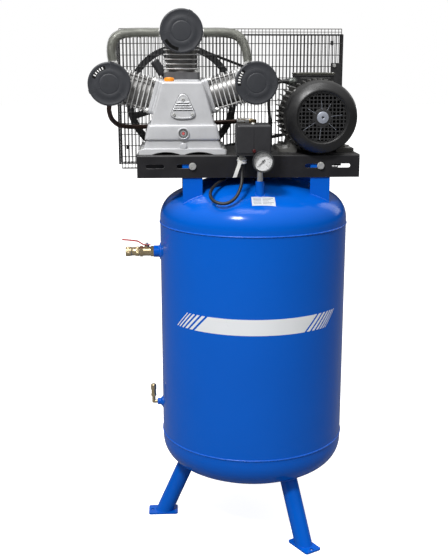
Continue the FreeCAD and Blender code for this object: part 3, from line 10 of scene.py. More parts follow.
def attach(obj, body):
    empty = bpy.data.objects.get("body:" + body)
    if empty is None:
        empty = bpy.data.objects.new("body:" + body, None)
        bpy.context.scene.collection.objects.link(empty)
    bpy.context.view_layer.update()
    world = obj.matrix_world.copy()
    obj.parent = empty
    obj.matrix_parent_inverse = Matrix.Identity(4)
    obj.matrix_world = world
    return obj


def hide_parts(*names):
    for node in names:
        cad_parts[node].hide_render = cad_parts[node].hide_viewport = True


# Belt-driven three-cylinder compressor on a vertical receiver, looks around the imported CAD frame.
# Lengths in this file are millimetres in the CAD frame; MM turns them into Blender's metres.
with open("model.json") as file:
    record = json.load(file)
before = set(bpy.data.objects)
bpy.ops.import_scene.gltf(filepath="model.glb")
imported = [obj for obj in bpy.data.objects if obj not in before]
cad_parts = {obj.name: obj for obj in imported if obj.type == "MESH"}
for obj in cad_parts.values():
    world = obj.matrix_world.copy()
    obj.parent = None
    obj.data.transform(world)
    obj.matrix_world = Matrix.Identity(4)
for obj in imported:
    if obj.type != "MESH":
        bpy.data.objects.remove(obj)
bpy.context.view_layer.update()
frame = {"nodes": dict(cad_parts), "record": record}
NODES = frame["nodes"]
MM = 0.001

# --- dimensions shared with the CAD source ---
TANK_R = 300.0
SEAMS_Z = (315.0, 1022.0)
PLATE_SEAM = 2.6               # upright seam of the rolled plate, in radians from the front
UPPER_EQUATOR_Z, LOWER_EQUATOR_Z = 1037.0, 292.0
HEAD_DEPTH, KNUCKLE_R = 140.0, 85.0
LEG_ANGLES = (180.0, -60.0, 60.0)
LEG_R, LEG_TOP_REACH, LEG_FOOT = 28.0, 215.0, (300.0, 0.0, 6.0)
DRAIN = (0.0, 150.0)
BRACKET_X = (-197.0, 192.0)
DECK_Z = 1249.0
PUMP_X, CRANK_Z = -226.0, 1396.0
CASE_TOP_Z, CASE_TOP_HALF, CASE_LEAN = 1465.0, 61.0, tan(radians(16.0))
BANK_ANGLES = {"left": -74.0, "top": 0.0, "right": 74.0}
BANK_Y = {"left": -45.0, "top": -30.0, "right": -15.0}
FILTER_REACH = {"left": 224.0, "top": 214.0, "right": 232.0}
FILTER_FRONT_Y, FILTER_BACK_Y = -140.0, -101.5
HEAD_HALF = 52.0
SEAT_REACH, BARREL_END = 84.0, 186.0
FIN_COUNT, FIN_PITCH, FIN_HALF = 6, 14.0, 55.0
BORE_R = 42.3
CASE_FRONT_Y = -145.0
SIGHT_Z, OIL_DRAIN_Z, OIL_FILLER = 1313.0, 1275.0, (-264.0, -113.0)
FACE_X = PUMP_X + 2.5          # centre line of the fittings on the crankcase front
MOTOR_X, MOTOR_Z = 189.0, 1361.0
COWL_BACK_Y, GRILLE_Y = -111.0, -195.0
TERMINAL_HALF = 58.0
FLYWHEEL_R, PULLEY_R = 182.0, 70.0
BELT_Y = (178.0, 200.0)
GUARD_NEAR_Y, GUARD_FAR_Y = (160.6, 163.6), (228.5, 231.5)
GUARD_NEAR = (-437.0, 308.0, 1188.0, 1610.0)
GUARD_FAR = (-432.0, 315.0, 1165.0, 1630.0)
GUARD_COLUMNS = 64
POST_X, POST_TOP_Z = (268.0, 303.0), 1518.0
GAUGE_X, GAUGE_Z, GAUGE_BACK_Y, DIAL_DEPTH = 5.0, 1241.0, -254.0, 20.1
OUTLET_Z, OUTLET_STEM_X, OUTLET_END_X = 923.0, -344.0, -367.0
SAFETY_X, SAFETY_Z = -331.0, 405.0
RISER = (3.0, -205.0)
SWITCH_X, SWITCH_Z = (-70.0, 32.0), (1254.0, 1343.8)
SWITCH_GLAND = (-52.0, -218.0)
CHECK_VALVE = (8.0, 110.0)
DELIVERY_Z = 1332.0
CABLE_R = 5.0
CABLE_ROUTE = (
    (106, 20, 1462), (82, 18, 1461), (61, 13, 1450), (49, 5, 1428), (46, -8, 1390), (50, -24, 1340),
    (51, -44, 1290), (44, -66, 1246), (18, -82, 1212), (-22, -96, 1195), (-68, -113, 1185),
    (-108, -142, 1170), (-136, -180, 1156), (-149, -220, 1138), (-138, -250, 1121), (-106, -263, 1114),
    (-74, -256, 1128), (-55, -239, 1162), (-51, -222, 1198), (-52, -218, 1222),
)


def circle(count):
    """Even angles once round."""
    return [2 * pi * i / count for i in range(count)]


def placed(point, angle, axis):
    """Matrix that turns by an angle in radians about an axis, then moves to a point."""
    return Matrix.Translation(point) @ Matrix.Rotation(angle, 4, axis)


# --- mesh building ---
class Shell:
    """Points in millimetres and faces, gathered before they become one piece."""

    def __init__(self):
        self.points = []
        self.faces = []

    def add(self, points, faces):
        base = len(self.points)
        self.points += [Vector(p) for p in points]
        self.faces += [tuple(base + i for i in face) for face in faces]

    def ring_strip(self, rings, closed_end=True, caps=True):
        """Skin over rings of equal size, each closed round itself."""
        count = len(rings[0])
        points = [p for ring in rings for p in ring]
        faces = []
        spans = len(rings) - 1 if closed_end else len(rings)
        for i in range(spans):
            low, high = i * count, ((i + 1) % len(rings)) * count
            for k in range(count):
                n = (k + 1) % count
                faces.append((low + k, low + n, high + n, high + k))
        if caps and closed_end:
            faces.append(tuple(reversed(range(count))))
            faces.append(tuple(range(len(points) - count, len(points))))
        self.add(points, faces)

    def lathe(self, profile, start, direction, steps=64):
        """Turn a closed (radius, height) outline about an axis."""
        turn = Vector((0, 0, 1)).rotation_difference(Vector(direction)).to_matrix()
        origin = Vector(start)
        spread = [(cos(a), sin(a)) for a in circle(steps)]
        rings = [[origin + turn @ Vector((r * c, r * s, h)) for c, s in spread] for r, h in profile]
        points, index = [], []
        for (r, _), ring in zip(profile, rings):
            if r < 1e-6:
                index.append([len(points)] * steps)
                points.append(ring[0])
            else:
                index.append(list(range(len(points), len(points) + steps)))
                points += ring
        faces = []
        for i in range(len(profile)):
            a, b = index[i], index[(i + 1) % len(profile)]
            for k in range(steps):
                n = (k + 1) % steps
                face = []
                for v in (a[k], a[n], b[n], b[k]):
                    if v not in face:
                        face.append(v)
                if len(face) > 2:
                    faces.append(tuple(face))
        self.add(points, faces)

    def tube(self, line, radius, sides=8, caps=True, closed=False):
        """Round rod that follows a line of points."""
        line = [Vector(p) for p in line]
        frames = carried_frames(line, closed)
        radii = radius if isinstance(radius, (list, tuple)) else [radius] * len(line)
        rings = []
        for p, (u, v), r in zip(line, frames, radii):
            rings.append([p + (u * cos(a) + v * sin(a)) * r for a in circle(sides)])
        self.ring_strip(rings, closed_end=not closed, caps=caps)

    def box(self, low, high):
        x0, y0, z0 = low
        x1, y1, z1 = high
        points = [(x, y, z) for x in (x0, x1) for y in (y0, y1) for z in (z0, z1)]
        self.add(points, [(0, 1, 3, 2), (4, 6, 7, 5), (0, 4, 5, 1), (2, 3, 7, 6), (0, 2, 6, 4),
                          (1, 5, 7, 3)])

    def turned_box(self, matrix, low, high):
        """Box built in a frame of its own and turned into place."""
        part = Shell()
        part.box(low, high)
        self.turned(part, matrix)

    def prism(self, outline, low, high):
        """Outline of points carried by two offsets: its near and far faces."""
        low, high = Vector(low), Vector(high)
        count = len(outline)
        near = [Vector(p) + low for p in outline]
        far = [Vector(p) + high for p in outline]
        faces = [(k, (k + 1) % count, count + (k + 1) % count, count + k) for k in range(count)]
        faces += [tuple(reversed(range(count))), tuple(range(count, 2 * count))]
        self.add(near + far, faces)

    def turned(self, other, matrix):
        self.add([matrix @ p for p in other.points], other.faces)


def carried_frames(line, closed=False):
    """Two cross directions at each point of a line, carried along without twist."""
    count = len(line)
    frames = []
    side = None
    for i in range(count):
        if closed:
            along = line[(i + 1) % count] - line[i - 1]
        else:
            along = line[min(i + 1, count - 1)] - line[max(i - 1, 0)]
        along.normalize()
        if side is None:
            helper = Vector((0, 0, 1)) if abs(along.z) < 0.9 else Vector((1, 0, 0))
            side = along.cross(helper)
        side = (side - along * side.dot(along)).normalized()
        frames.append((side.copy(), along.cross(side)))
    return frames


def smooth_line(points, steps=12):
    """Rounded line through bend corners: straight runs joined by quadratic curves."""
    points = [Vector(p) for p in points]
    line = [points[0]]
    for i in range(1, len(points) - 1):
        first = points[i - 1].lerp(points[i], 0.5) if i > 1 else points[i].lerp(points[i - 1], 0.6)
        last = points[i].lerp(points[i + 1], 0.5) if i < len(points) - 2 else points[i].lerp(points[i + 1],
                                                                                             0.6)
        for k in range(steps + 1):
            t = k / steps
            p = first * (1 - t) ** 2 + points[i] * 2 * t * (1 - t) + last * t ** 2
            if (p - line[-1]).length > 1e-3:
                line.append(p)
    line.append(points[-1])
    return line


def spaced_line(line, gap):
    """The same line with its points an even gap apart."""
    spans = [(b - a).length for a, b in zip(line, line[1:])]
    total = sum(spans)
    count = max(2, round(total / gap))
    out, i, gone = [], 0, 0.0
    for k in range(count + 1):
        want = total * k / count
        while i < len(spans) - 1 and gone + spans[i] < want:
            gone += spans[i]
            i += 1
        out.append(line[i].lerp(line[i + 1], min(1.0, (want - gone) / max(spans[i], 1e-9))))
    return out


def on_bank(side):
    """Matrix from a bank's own frame, built upwards from the crank axis, to the machine."""
    place = Matrix.Translation((PUMP_X, BANK_Y[side], CRANK_Z))
    return place @ Matrix.Rotation(radians(BANK_ANGLES[side]), 4, "Y")


def bank_point(side, reach, across=0.0, depth=0.0):
    return on_bank(side) @ Vector((across, depth, reach))


def head_height(radius):
    """Height of a dished head's outer face above its equator, at a distance from the axis."""
    ring = TANK_R - KNUCKLE_R
    crown = (ring ** 2 + HEAD_DEPTH ** 2 - KNUCKLE_R ** 2) / (2 * (HEAD_DEPTH - KNUCKLE_R))
    if radius < ring * crown / (crown - KNUCKLE_R):
        return sqrt(crown ** 2 - radius ** 2) - (crown - HEAD_DEPTH)
    return sqrt(max(0.0, KNUCKLE_R ** 2 - (radius - ring) ** 2))


def linked(name, data):
    """New object in the scene."""
    obj = bpy.data.objects.new(name, data)
    bpy.context.scene.collection.objects.link(obj)
    return obj


def piece(name, shell, finish, body="frame", replaces=(), smooth=38, bevel=0.0, steps=2):
    """Make one object from a shell, finish it, ride it on its body and hide the CAD parts it stands in for.
    """
    mesh = bpy.data.meshes.new(name)
    mesh.from_pydata([tuple(p * MM) for p in shell.points], [], shell.faces)
    mesh.validate()
    work = bmesh.new()
    work.from_mesh(mesh)
    bmesh.ops.recalc_face_normals(work, faces=work.faces)
    work.to_mesh(mesh)
    work.free()
    mesh.shade_smooth()
    mesh.set_sharp_from_angle(angle=radians(smooth))
    obj = linked(name, mesh)
    mesh.materials.append(MAT[finish])
    if bevel:
        rounding = obj.modifiers.new("rounded", "BEVEL")
        rounding.width = bevel * MM
        rounding.segments = steps
        rounding.limit_method = "ANGLE"
        rounding.angle_limit = radians(smooth)
        rounding.harden_normals = True
    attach(obj, body)
    if replaces:
        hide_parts(*replaces)


# --- camera ---
CAMERA_PLACE = (-0.2457, -2.901, 1.521)
CAMERA_TILT, CAMERA_TURN, CAMERA_LENS = 76.5, -3.0, 58.37


def add_camera():
    data = bpy.data.cameras.new("camera")
    data.lens = CAMERA_LENS
    data.sensor_width = 36.0
    data.clip_end = 50.0
    camera = linked("camera", data)
    camera.location = CAMERA_PLACE
    camera.rotation_euler = (radians(CAMERA_TILT), 0, radians(CAMERA_TURN))
    bpy.context.scene.camera = camera


add_camera()


# --- materials ---
def put(node, values):
    """Set plain values on a node's sockets."""
    for socket, value in values.items():
        node.inputs[socket].default_value = value


class Paint:
    """Small builder for a procedural material in object space."""

    def __init__(self, name):
        self.material = bpy.data.materials.new(name)
        self.material.use_nodes = True
        self.tree = self.material.node_tree
        self.bsdf = self.tree.nodes["Principled BSDF"]
        self.place = self.new("ShaderNodeTexCoord").outputs["Object"]

    def new(self, kind, values=None, **settings):
        node = self.tree.nodes.new(kind)
        for key, value in settings.items():
            setattr(node, key, value)
        put(node, values or {})
        return node

    def link(self, source, target):
        self.tree.links.new(source, target)

    def noise(self, scale, detail=3.0, rough=0.5, stretch=None):
        node = self.new("ShaderNodeTexNoise", {"Scale": scale, "Detail": detail, "Roughness": rough})
        place = self.place
        if stretch:
            mapping = self.new("ShaderNodeMapping", {"Scale": stretch})
            self.link(self.place, mapping.inputs["Vector"])
            place = mapping.outputs["Vector"]
        self.link(place, node.inputs["Vector"])
        return node.outputs["Fac"]

    def spread(self, value, low, high, to_low=0.0, to_high=1.0):
        ends = {"From Min": low, "From Max": high, "To Min": to_low, "To Max": to_high}
        node = self.new("ShaderNodeMapRange", ends)
        self.link(value, node.inputs["Value"])
        return node.outputs["Result"]

    def math(self, operation, a, b):
        node = self.new("ShaderNodeMath", operation=operation)
        for i, value in enumerate((a, b)):
            if isinstance(value, (int, float)):
                node.inputs[i].default_value = value
            else:
                self.link(value, node.inputs[i])
        return node.outputs[0]

    def mix(self, share, a, b):
        node = self.new("ShaderNodeMix", data_type="RGBA")
        self.link(share, node.inputs["Factor"])
        for socket, value in ((node.inputs[6], a), (node.inputs[7], b)):
            if isinstance(value, tuple):
                socket.default_value = (*value, 1.0)
            else:
                self.link(value, socket)
        return node.outputs[2]

    def edges(self, radius):
        """Share from 0 on flats to 1 on convex and concave edges."""
        bevel = self.new("ShaderNodeBevel", {"Radius": radius}, samples=4)
        geometry = self.new("ShaderNodeNewGeometry")
        dot = self.new("ShaderNodeVectorMath", operation="DOT_PRODUCT")
        self.link(bevel.outputs["Normal"], dot.inputs[0])
        self.link(geometry.outputs["Normal"], dot.inputs[1])
        return self.spread(dot.outputs["Value"], 0.99, 0.85)

    def facing_up(self):
        """Share from 0 on walls to 1 on level faces."""
        geometry = self.new("ShaderNodeNewGeometry")
        split = self.new("ShaderNodeSeparateXYZ")
        self.link(geometry.outputs["Normal"], split.inputs[0])
        return self.spread(split.outputs["Z"], 0.3, 0.95)

    def rounded(self, radius):
        """Normal that rolls softly over hard edges."""
        return self.new("ShaderNodeBevel", {"Radius": radius}, samples=6).outputs["Normal"]

    def bump(self, height, distance, after=None):
        node = self.new("ShaderNodeBump", {"Distance": distance})
        self.link(height, node.inputs["Height"])
        if after is not None:
            self.link(after, node.inputs["Normal"])
        return node.outputs["Normal"]


def rgb(colour):
    """A colour; one number stands for a grey."""
    return colour if isinstance(colour, tuple) else (colour,) * 3


def tone(colour, factor):
    return tuple(min(1.0, c * factor) for c in colour)


DUST = (0.30, 0.29, 0.27)


def surface(name, colour, rough, metal=0.0, vary=0.15, patch=60.0, rough_vary=0.08, grain=1500.0,
            grain_depth=0.00004, lumps=0.0, lump_scale=7.0, specular=0.5, dust=0.0, stretch=None,
            soften=0.0, edge_wear_and_highlight=None):
    """Painted, cast or moulded finish: mottled colour, uneven gloss, fine grain, lighter edges and dust.

    The edge entry holds the edge colour, how far it reaches from an edge in metres, and its share. On most
    finishes it is wear through the paint; on the deck, the cylinder fins and the motor body it is painted
    highlight where edges catch the light.
    """
    p, colour = Paint(name), rgb(colour)
    shade = p.mix(p.spread(p.noise(patch, 5.0, 0.6), 0.3, 0.7), tone(colour, 1 - vary),
                  tone(colour, 1 + vary))
    # Lighter edges: wear through the paint on most finishes, painted highlight on the deck, cylinder fins
    # and motor body.
    if edge_wear_and_highlight:
        bare_and_lit_colour, reach, share = edge_wear_and_highlight
        chipped_and_lit_edges = p.math("MULTIPLY", p.edges(reach), p.spread(p.noise(70.0, 4.0), 0.35, 0.65, 0.0, share))
        shade = p.mix(chipped_and_lit_edges, shade, rgb(bare_and_lit_colour))
    if dust:
        settled = p.math("MULTIPLY", p.facing_up(), p.spread(p.noise(26.0, 5.0, 0.65), 0.3, 0.7, 0.0, dust))
        shade = p.mix(settled, shade, DUST)
    p.link(shade, p.bsdf.inputs["Base Color"])
    gloss = p.spread(p.noise(patch * 3.1, 6.0, 0.62), 0.3, 0.7, max(0.02, rough - rough_vary),
                     rough + rough_vary)
    if dust:
        gloss = p.math("ADD", gloss, p.math("MULTIPLY", settled, 0.5))
    p.link(gloss, p.bsdf.inputs["Roughness"])
    normal = p.rounded(soften) if soften else None
    if lumps:
        normal = p.bump(p.noise(lump_scale, 4.0, 0.55), lumps, normal)
    normal = p.bump(p.noise(grain, 2.0, 0.5, stretch), grain_depth, normal)
    p.link(normal, p.bsdf.inputs["Normal"])
    put(p.bsdf, {"Metallic": metal, "Specular IOR Level": specular})
    return p.material


def clear_material(name, rough, alpha):
    """Thin clear plastic: almost all light passes, with a faint smear in its gloss."""
    p = Paint(name)
    p.link(p.spread(p.noise(60.0, 4.0), 0.35, 0.7, rough, rough + 0.05), p.bsdf.inputs["Roughness"])
    p.link(p.bump(p.noise(40.0, 2.0), 0.00002), p.bsdf.inputs["Normal"])
    p.link(p.mix(p.noise(30.0), rgb(0.97), rgb(1.0)), p.bsdf.inputs["Base Color"])
    put(p.bsdf, {"Alpha": alpha})
    return p.material


FINISHES = {
    "tank_paint": dict(colour=(0.0002, 0.112, 0.6), rough=0.17, vary=0.035, patch=2.2, rough_vary=0.05,
        grain=60.0, grain_depth=0.00002, lumps=0.0001, specular=0.24, soften=0.0015),
    # Deck: its lighter edges are partly wear and partly painted highlight on the rounded deck edges.
    "platform_paint": dict(colour=(0.011, 0.0105, 0.0125), rough=0.42, vary=0.18, patch=7.0, grain=700.0,
        grain_depth=0.00005, lumps=0.0001, lump_scale=30.0, dust=0.1, soften=0.0025,
        edge_wear_and_highlight=(0.22, 0.0022, 0.6)),
    "zinc": dict(colour=(0.7, 0.7, 0.68), rough=0.36, metal=0.75, vary=0.12, patch=45.0, rough_vary=0.1,
        edge_wear_and_highlight=((0.75, 0.75, 0.74), 0.0006, 0.5)),
    "brass_fittings": dict(colour=(0.56, 0.45, 0.27), rough=0.33, metal=0.9, vary=0.16, patch=50.0,
        rough_vary=0.1, edge_wear_and_highlight=((0.8, 0.68, 0.46), 0.0006, 0.6)),
    "bright_steel": dict(colour=(0.6, 0.6, 0.61), rough=0.26, metal=1.0, vary=0.08, patch=50.0,
        grain=1200.0, stretch=(1.0, 14.0, 1.0)),
    "red_lever": dict(colour=(0.52, 0.012, 0.014), rough=0.38, vary=0.1, patch=50.0, grain=1600.0,
        edge_wear_and_highlight=((0.72, 0.2, 0.18), 0.0008, 0.35)),
    "black_plastic": dict(colour=(0.026, 0.026, 0.029), rough=0.42, vary=0.12, patch=40.0, grain=1700.0,
        grain_depth=0.00006, dust=0.06, soften=0.0015, edge_wear_and_highlight=((0.07, 0.07, 0.075), 0.001, 0.5)),
    "red_plastic": dict(colour=(0.6, 0.015, 0.015), rough=0.3, vary=0.06, patch=80.0, grain=1800.0),
    "dial_white": dict(colour=(0.9, 0.905, 0.91), rough=0.42, vary=0.02, grain=2000.0,
        grain_depth=0.00001),
    "cable_rubber": dict(colour=(0.012, 0.012, 0.013), rough=0.46, grain_depth=0.00006),
    "motor_paint": dict(colour=(0.015, 0.015, 0.0155), rough=0.38, vary=0.18, patch=22.0, grain=1100.0,
        grain_depth=0.00006, lumps=0.00015, lump_scale=120.0, dust=0.1, soften=0.0012,
        edge_wear_and_highlight=(0.09, 0.0012, 0.5)),
    "drive_iron": dict(colour=(0.035, 0.036, 0.038), rough=0.5, metal=0.3, vary=0.2, patch=30.0,
        grain=900.0, grain_depth=0.0001, edge_wear_and_highlight=(0.25, 0.0012, 0.5)),
    "cast_silver": dict(colour=(0.61, 0.615, 0.63), rough=0.4, metal=0.25, vary=0.06, patch=18.0,
        rough_vary=0.1, grain=900.0, grain_depth=0.0001, lumps=0.00022, lump_scale=160.0, dust=0.04,
        soften=0.003, edge_wear_and_highlight=((0.8, 0.8, 0.81), 0.0016, 0.15)),
    # Cylinder fins: the pale edge colour is a painted highlight along the fin edges.
    "cylinder_alloy": dict(colour=(0.74, 0.74, 0.735), rough=0.38, metal=0.3, vary=0.1, patch=24.0,
        rough_vary=0.06, grain=1000.0, soften=0.0012, edge_wear_and_highlight=((0.88, 0.88, 0.87), 0.0012, 0.8)),
    "filter_plastic": dict(colour=(0.029, 0.031, 0.037), rough=0.5, vary=0.1, patch=30.0,
        grain_depth=0.00005, dust=0.05, edge_wear_and_highlight=((0.11, 0.11, 0.12), 0.0012, 0.6)),
    "orange_plastic": dict(colour=(0.86, 0.2, 0.02), rough=0.34, vary=0.07),
    "pipe_grey": dict(colour=(0.27, 0.275, 0.245), rough=0.46, metal=0.35, vary=0.18, patch=40.0,
        rough_vary=0.12, grain=1200.0, edge_wear_and_highlight=((0.5, 0.5, 0.46), 0.0007, 0.6)),
    "pipe_brown": dict(colour=(0.06, 0.036, 0.028), rough=0.36, metal=0.55, vary=0.25, patch=26.0,
        rough_vary=0.12, grain=1000.0, grain_depth=0.00003),
    "belt_rubber": dict(colour=0.016, rough=0.62, vary=0.2, patch=35.0, grain=1300.0,
        grain_depth=0.00008),
    "guard_paint": dict(colour=(0.02, 0.02, 0.021), rough=0.42, patch=30.0, grain=900.0,
        edge_wear_and_highlight=(0.1, 0.0008, 0.4)),
    "film_white": dict(colour=(0.86, 0.88, 0.9), rough=0.34, vary=0.02, patch=6.0, grain=40.0,
        grain_depth=0.00001),
    "plate_silver": dict(colour=(0.8, 0.83, 0.87), rough=0.36, metal=0.2, vary=0.04, patch=40.0),
    "print_grey": dict(colour=(0.16, 0.18, 0.22), rough=0.5, vary=0.05, grain=900.0),
    "print_black": dict(colour=0.015, rough=0.5, vary=0.05, patch=80.0, grain=900.0),
    # Weld beads: the tank blue made a little lighter, a painted highlight along the beads.
    "weld_paint_highlit": dict(colour=(0.002, 0.12, 0.64), rough=0.3, vary=0.1, patch=30.0, grain=260.0,
        grain_depth=0.0003, lumps=0.0006, lump_scale=110.0),
    "cap_grey": dict(colour=(0.42, 0.45, 0.52), rough=0.38, metal=0.5, vary=0.08, grain=900.0),
    "lid_olive": dict(colour=(0.055, 0.055, 0.044), rough=0.42, vary=0.2, patch=30.0, grain=1000.0,
        grain_depth=0.00005, dust=0.25, edge_wear_and_highlight=((0.15, 0.15, 0.11), 0.0012, 0.5)),
    "gland_grey": dict(colour=(0.13, 0.14, 0.13), rough=0.36, metal=0.7, grain=900.0,
        edge_wear_and_highlight=((0.45, 0.45, 0.42), 0.0008, 0.6)),
    "white_plastic": dict(colour=(0.78, 0.78, 0.76), rough=0.38, vary=0.04),
    "flange_iron": dict(colour=(0.135, 0.135, 0.14), rough=0.45, metal=0.4, vary=0.2, patch=40.0,
        grain=800.0, grain_depth=0.00012, edge_wear_and_highlight=((0.32, 0.32, 0.33), 0.0014, 0.6)),
    "bright_nut": dict(colour=(0.9, 0.895, 0.88), rough=0.34, metal=0.2, vary=0.05, soften=0.0008),
    "oxide_steel": dict(colour=(0.2, 0.195, 0.19), rough=0.42, metal=0.6, vary=0.2),
    "gauge_black": dict(colour=(0.045, 0.047, 0.05), rough=0.34, edge_wear_and_highlight=(0.14, 0.0006, 0.6)),
    "barrel_metal": dict(colour=(0.27, 0.265, 0.26), rough=0.4, metal=0.8, vary=0.12, patch=20.0,
        rough_vary=0.06, grain=800.0),
    "cowl_black": dict(colour=(0.013, 0.013, 0.0135), rough=0.36, patch=18.0, grain=1100.0, dust=0.06,
        soften=0.0012, edge_wear_and_highlight=(0.09, 0.0012, 0.4)),
    "grille_grey": dict(colour=(0.026, 0.026, 0.027), rough=0.36, patch=40.0, grain=1200.0,
        edge_wear_and_highlight=(0.12, 0.0008, 0.6)),
    # Motor body: the grey base and bright edges are painted highlight on its black fins.
    "stator_paint_highlit": dict(colour=(0.13, 0.128, 0.12), rough=0.36, patch=22.0, grain=1100.0, dust=0.1,
        edge_wear_and_highlight=((0.34, 0.34, 0.35), 0.0016, 0.9)),
    # Filter vent slots: near-black, painted shade inside the slots.
    "vent_painted_shade": dict(colour=0.004, rough=0.7, vary=0.1, grain=900.0, specular=0.2),
    "mesh_far": dict(colour=(0.13, 0.125, 0.115), rough=0.5, patch=30.0, grain=900.0),
    "cap_orange": dict(colour=(0.93, 0.34, 0.03), rough=0.34, vary=0.06),
    "button_red": dict(colour=(0.07, 0.005, 0.007), rough=0.4, vary=0.1, patch=80.0, grain=1800.0),
    "foam_pale": dict(colour=(0.92, 0.92, 0.9), rough=0.8, patch=120.0, grain=900.0, grain_depth=0.0003),
}
MAT = {name: surface(name, **finish) for name, finish in FINISHES.items()}
MAT["clear_lens"] = clear_material("clear_lens", rough=0.01, alpha=0.06)
SLOT_OF = {part["node"]: part["material_slot"] for part in frame["record"]["subparts"]}


def dress_nodes():
    """Give every CAD node its slot's material, or a closer one of its own."""
    # The motor housing takes the paint with painted highlight on its fins.
    own = {"head_bolts": "oxide_steel", "gauge_case": "gauge_black", "switch_button": "button_red",
           "motor_housing": "stator_paint_highlit"}
    for name, obj in NODES.items():
        obj.data.materials.clear()
        obj.data.materials.append(MAT[own.get(name, SLOT_OF[name])])


dress_nodes()


# --- the lead ---
def add_cable():
    """One lead from the motor's terminal box to the pressure switch."""
    curve = bpy.data.curves.new("motor_lead", "CURVE")
    curve.dimensions = "3D"
    curve.bevel_depth = CABLE_R * MM
    curve.bevel_resolution = 6
    curve.resolution_u = 14
    curve.use_fill_caps = True
    line = curve.splines.new("NURBS")
    line.points.add(len(CABLE_ROUTE) - 1)
    for point, place in zip(line.points, CABLE_ROUTE):
        point.co = (*(c * MM for c in place), 1.0)
    line.order_u = 3
    line.use_endpoint_u = True
    lead = linked("motor_lead", curve)
    curve.materials.append(MAT["cable_rubber"])
    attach(lead, "frame")
    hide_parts("motor_cable")


add_cable()


# --- receiver details ---
def on_shell(turn_mm, z, out=0.0):
    """Point on the tank's cylinder: distance round from the front, towards +X, and height."""
    a = turn_mm / TANK_R
    r = TANK_R + out
    return (r * sin(a), -r * cos(a), z)


def on_dome(x, y, out=0.0):
    """Point on the upper head, a little outside its surface."""
    r = hypot(x, y)
    step = 0.5
    slope = (head_height(r + step) - head_height(r - step)) / (2 * step)
    normal = Vector((-slope * x / r, -slope * y / r, 1.0)).normalized()
    return Vector((x, y, UPPER_EQUATOR_Z + head_height(r))) + normal * out


def patch(shell, place, u_span, v_span, thick, u_steps=40, v_steps=4, lean=0.0):
    """Thin film on a surface: place(u, v, out) gives its points. The film leans by lean per unit of v."""
    rows = []
    for out in (0.0, thick):
        grid = []
        for k in range(v_steps + 1):
            v = v_span[0] + (v_span[1] - v_span[0]) * k / v_steps
            shift = lean * (v - (v_span[0] + v_span[1]) / 2)
            grid.append([place(u_span[0] + (u_span[1] - u_span[0]) * i / u_steps + shift, v, out)
                         for i in range(u_steps + 1)])
        rows.append(grid)
    across = u_steps + 1
    points = [p for grid in rows for line in grid for p in line]
    layer = across * (v_steps + 1)
    faces = []
    for k in range(v_steps):
        for i in range(u_steps):
            a = k * across + i
            faces.append((layer + a, layer + a + 1, layer + a + across + 1, layer + a + across))
            faces.append((a, a + across, a + across + 1, a + 1))
    rim = [i for i in range(across)]
    rim += [k * across + across - 1 for k in range(1, v_steps + 1)]
    rim += [v_steps * across + i for i in range(across - 2, -1, -1)]
    rim += [k * across for k in range(v_steps - 1, 0, -1)]
    for a, b in zip(rim, rim[1:] + rim[:1]):
        faces.append((a, b, layer + b, layer + a))
    shell.add(points, faces)


def add_decal():
    """White band with slanted stripes that thin out at both ends."""
    low, high, lean = 721.0, 771.0, 0.98
    ends = {-1: -189.0, 1: 167.0}
    film = Shell()
    patch(film, on_shell, (ends[-1], ends[1]), (low, high), 0.4, 60, 8, lean)
    for side, count in ((-1, 5), (1, 6)):
        near = ends[side]
        for i in range(count):
            gap, width = 9.0 - 0.4 * i, 11.5 - 1.9 * i
            span = sorted((near + side * gap, near + side * (gap + width)))
            patch(film, on_shell, span, (low, high), 0.4, 2, 8, lean)
            near += side * (gap + width)
    piece("tank_decal", film, "film_white")


def add_data_plate():
    """Metal plate on the upper head with a few generic printed rows."""
    def place(u, v, out):
        return on_dome(u, v, 0.1 + out)
    plate = Shell()
    patch(plate, place, (-24.0, 46.0), (-259.0, -219.0), 0.5, 16, 10)
    piece("data_plate", plate, "plate_silver")
    rows = Shell()
    for i in range(5):
        v = -226.0 - 6.4 * i
        patch(rows, lambda u, w, out: on_dome(u, w, 0.62 + out), (-19.0, 4.0), (v - 0.7, v + 0.7), 0.12, 5,
              1)
        end = 41.0 - (i % 3) * 7.0
        patch(rows, lambda u, w, out: on_dome(u, w, 0.62 + out), (9.0, end), (v - 0.7, v + 0.7), 0.12, 7, 1)
    piece("data_plate_rows", rows, "print_grey")


def rippled(line, size, seed):
    """Radii along a bead that swell and shrink a little, as weld ripples do."""
    rnd = random.Random(seed)
    return [size * (1.0 + 0.10 * sin(i * 1.9) + rnd.uniform(-0.06, 0.06)) for i in range(len(line))]


def ring_on_shell(radius, z):
    """Where an upright ring on the tank's left side meets the cylinder."""
    points = []
    for a in circle(48):
        y = radius * cos(a)
        points.append((-sqrt(TANK_R ** 2 - y * y), y, z + radius * sin(a)))
    return points


def ring_on_head(x, y, radius, upper=True):
    """Where an upright boss meets a dished head."""
    points = []
    for a in circle(48):
        px, py = x + radius * cos(a), y + radius * sin(a)
        rise = head_height(hypot(px, py))
        points.append((px, py, UPPER_EQUATOR_Z + rise if upper else LOWER_EQUATOR_Z - rise))
    return points


def leg_ring(angle):
    """Where one leg tube meets the lower head."""
    turn = Matrix.Rotation(radians(angle), 3, "Z")
    foot = Vector(LEG_FOOT)
    along = (Vector((LEG_TOP_REACH, 0, LOWER_EQUATOR_Z - head_height(LEG_TOP_REACH))) - foot).normalized()
    side = Vector((0, 1, 0))
    up = along.cross(side)
    points = []
    for a in circle(56):
        start = foot + (side * cos(a) + up * sin(a)) * LEG_R
        low, high = 60.0, 420.0
        for _ in range(30):
            middle = (low + high) / 2
            p = start + along * middle
            r = hypot(p.x, p.y)
            inside = r < TANK_R and p.z > LOWER_EQUATOR_Z - head_height(r)
            low, high = (low, middle) if inside else (middle, high)
        points.append(turn @ (start + along * low))
    return points


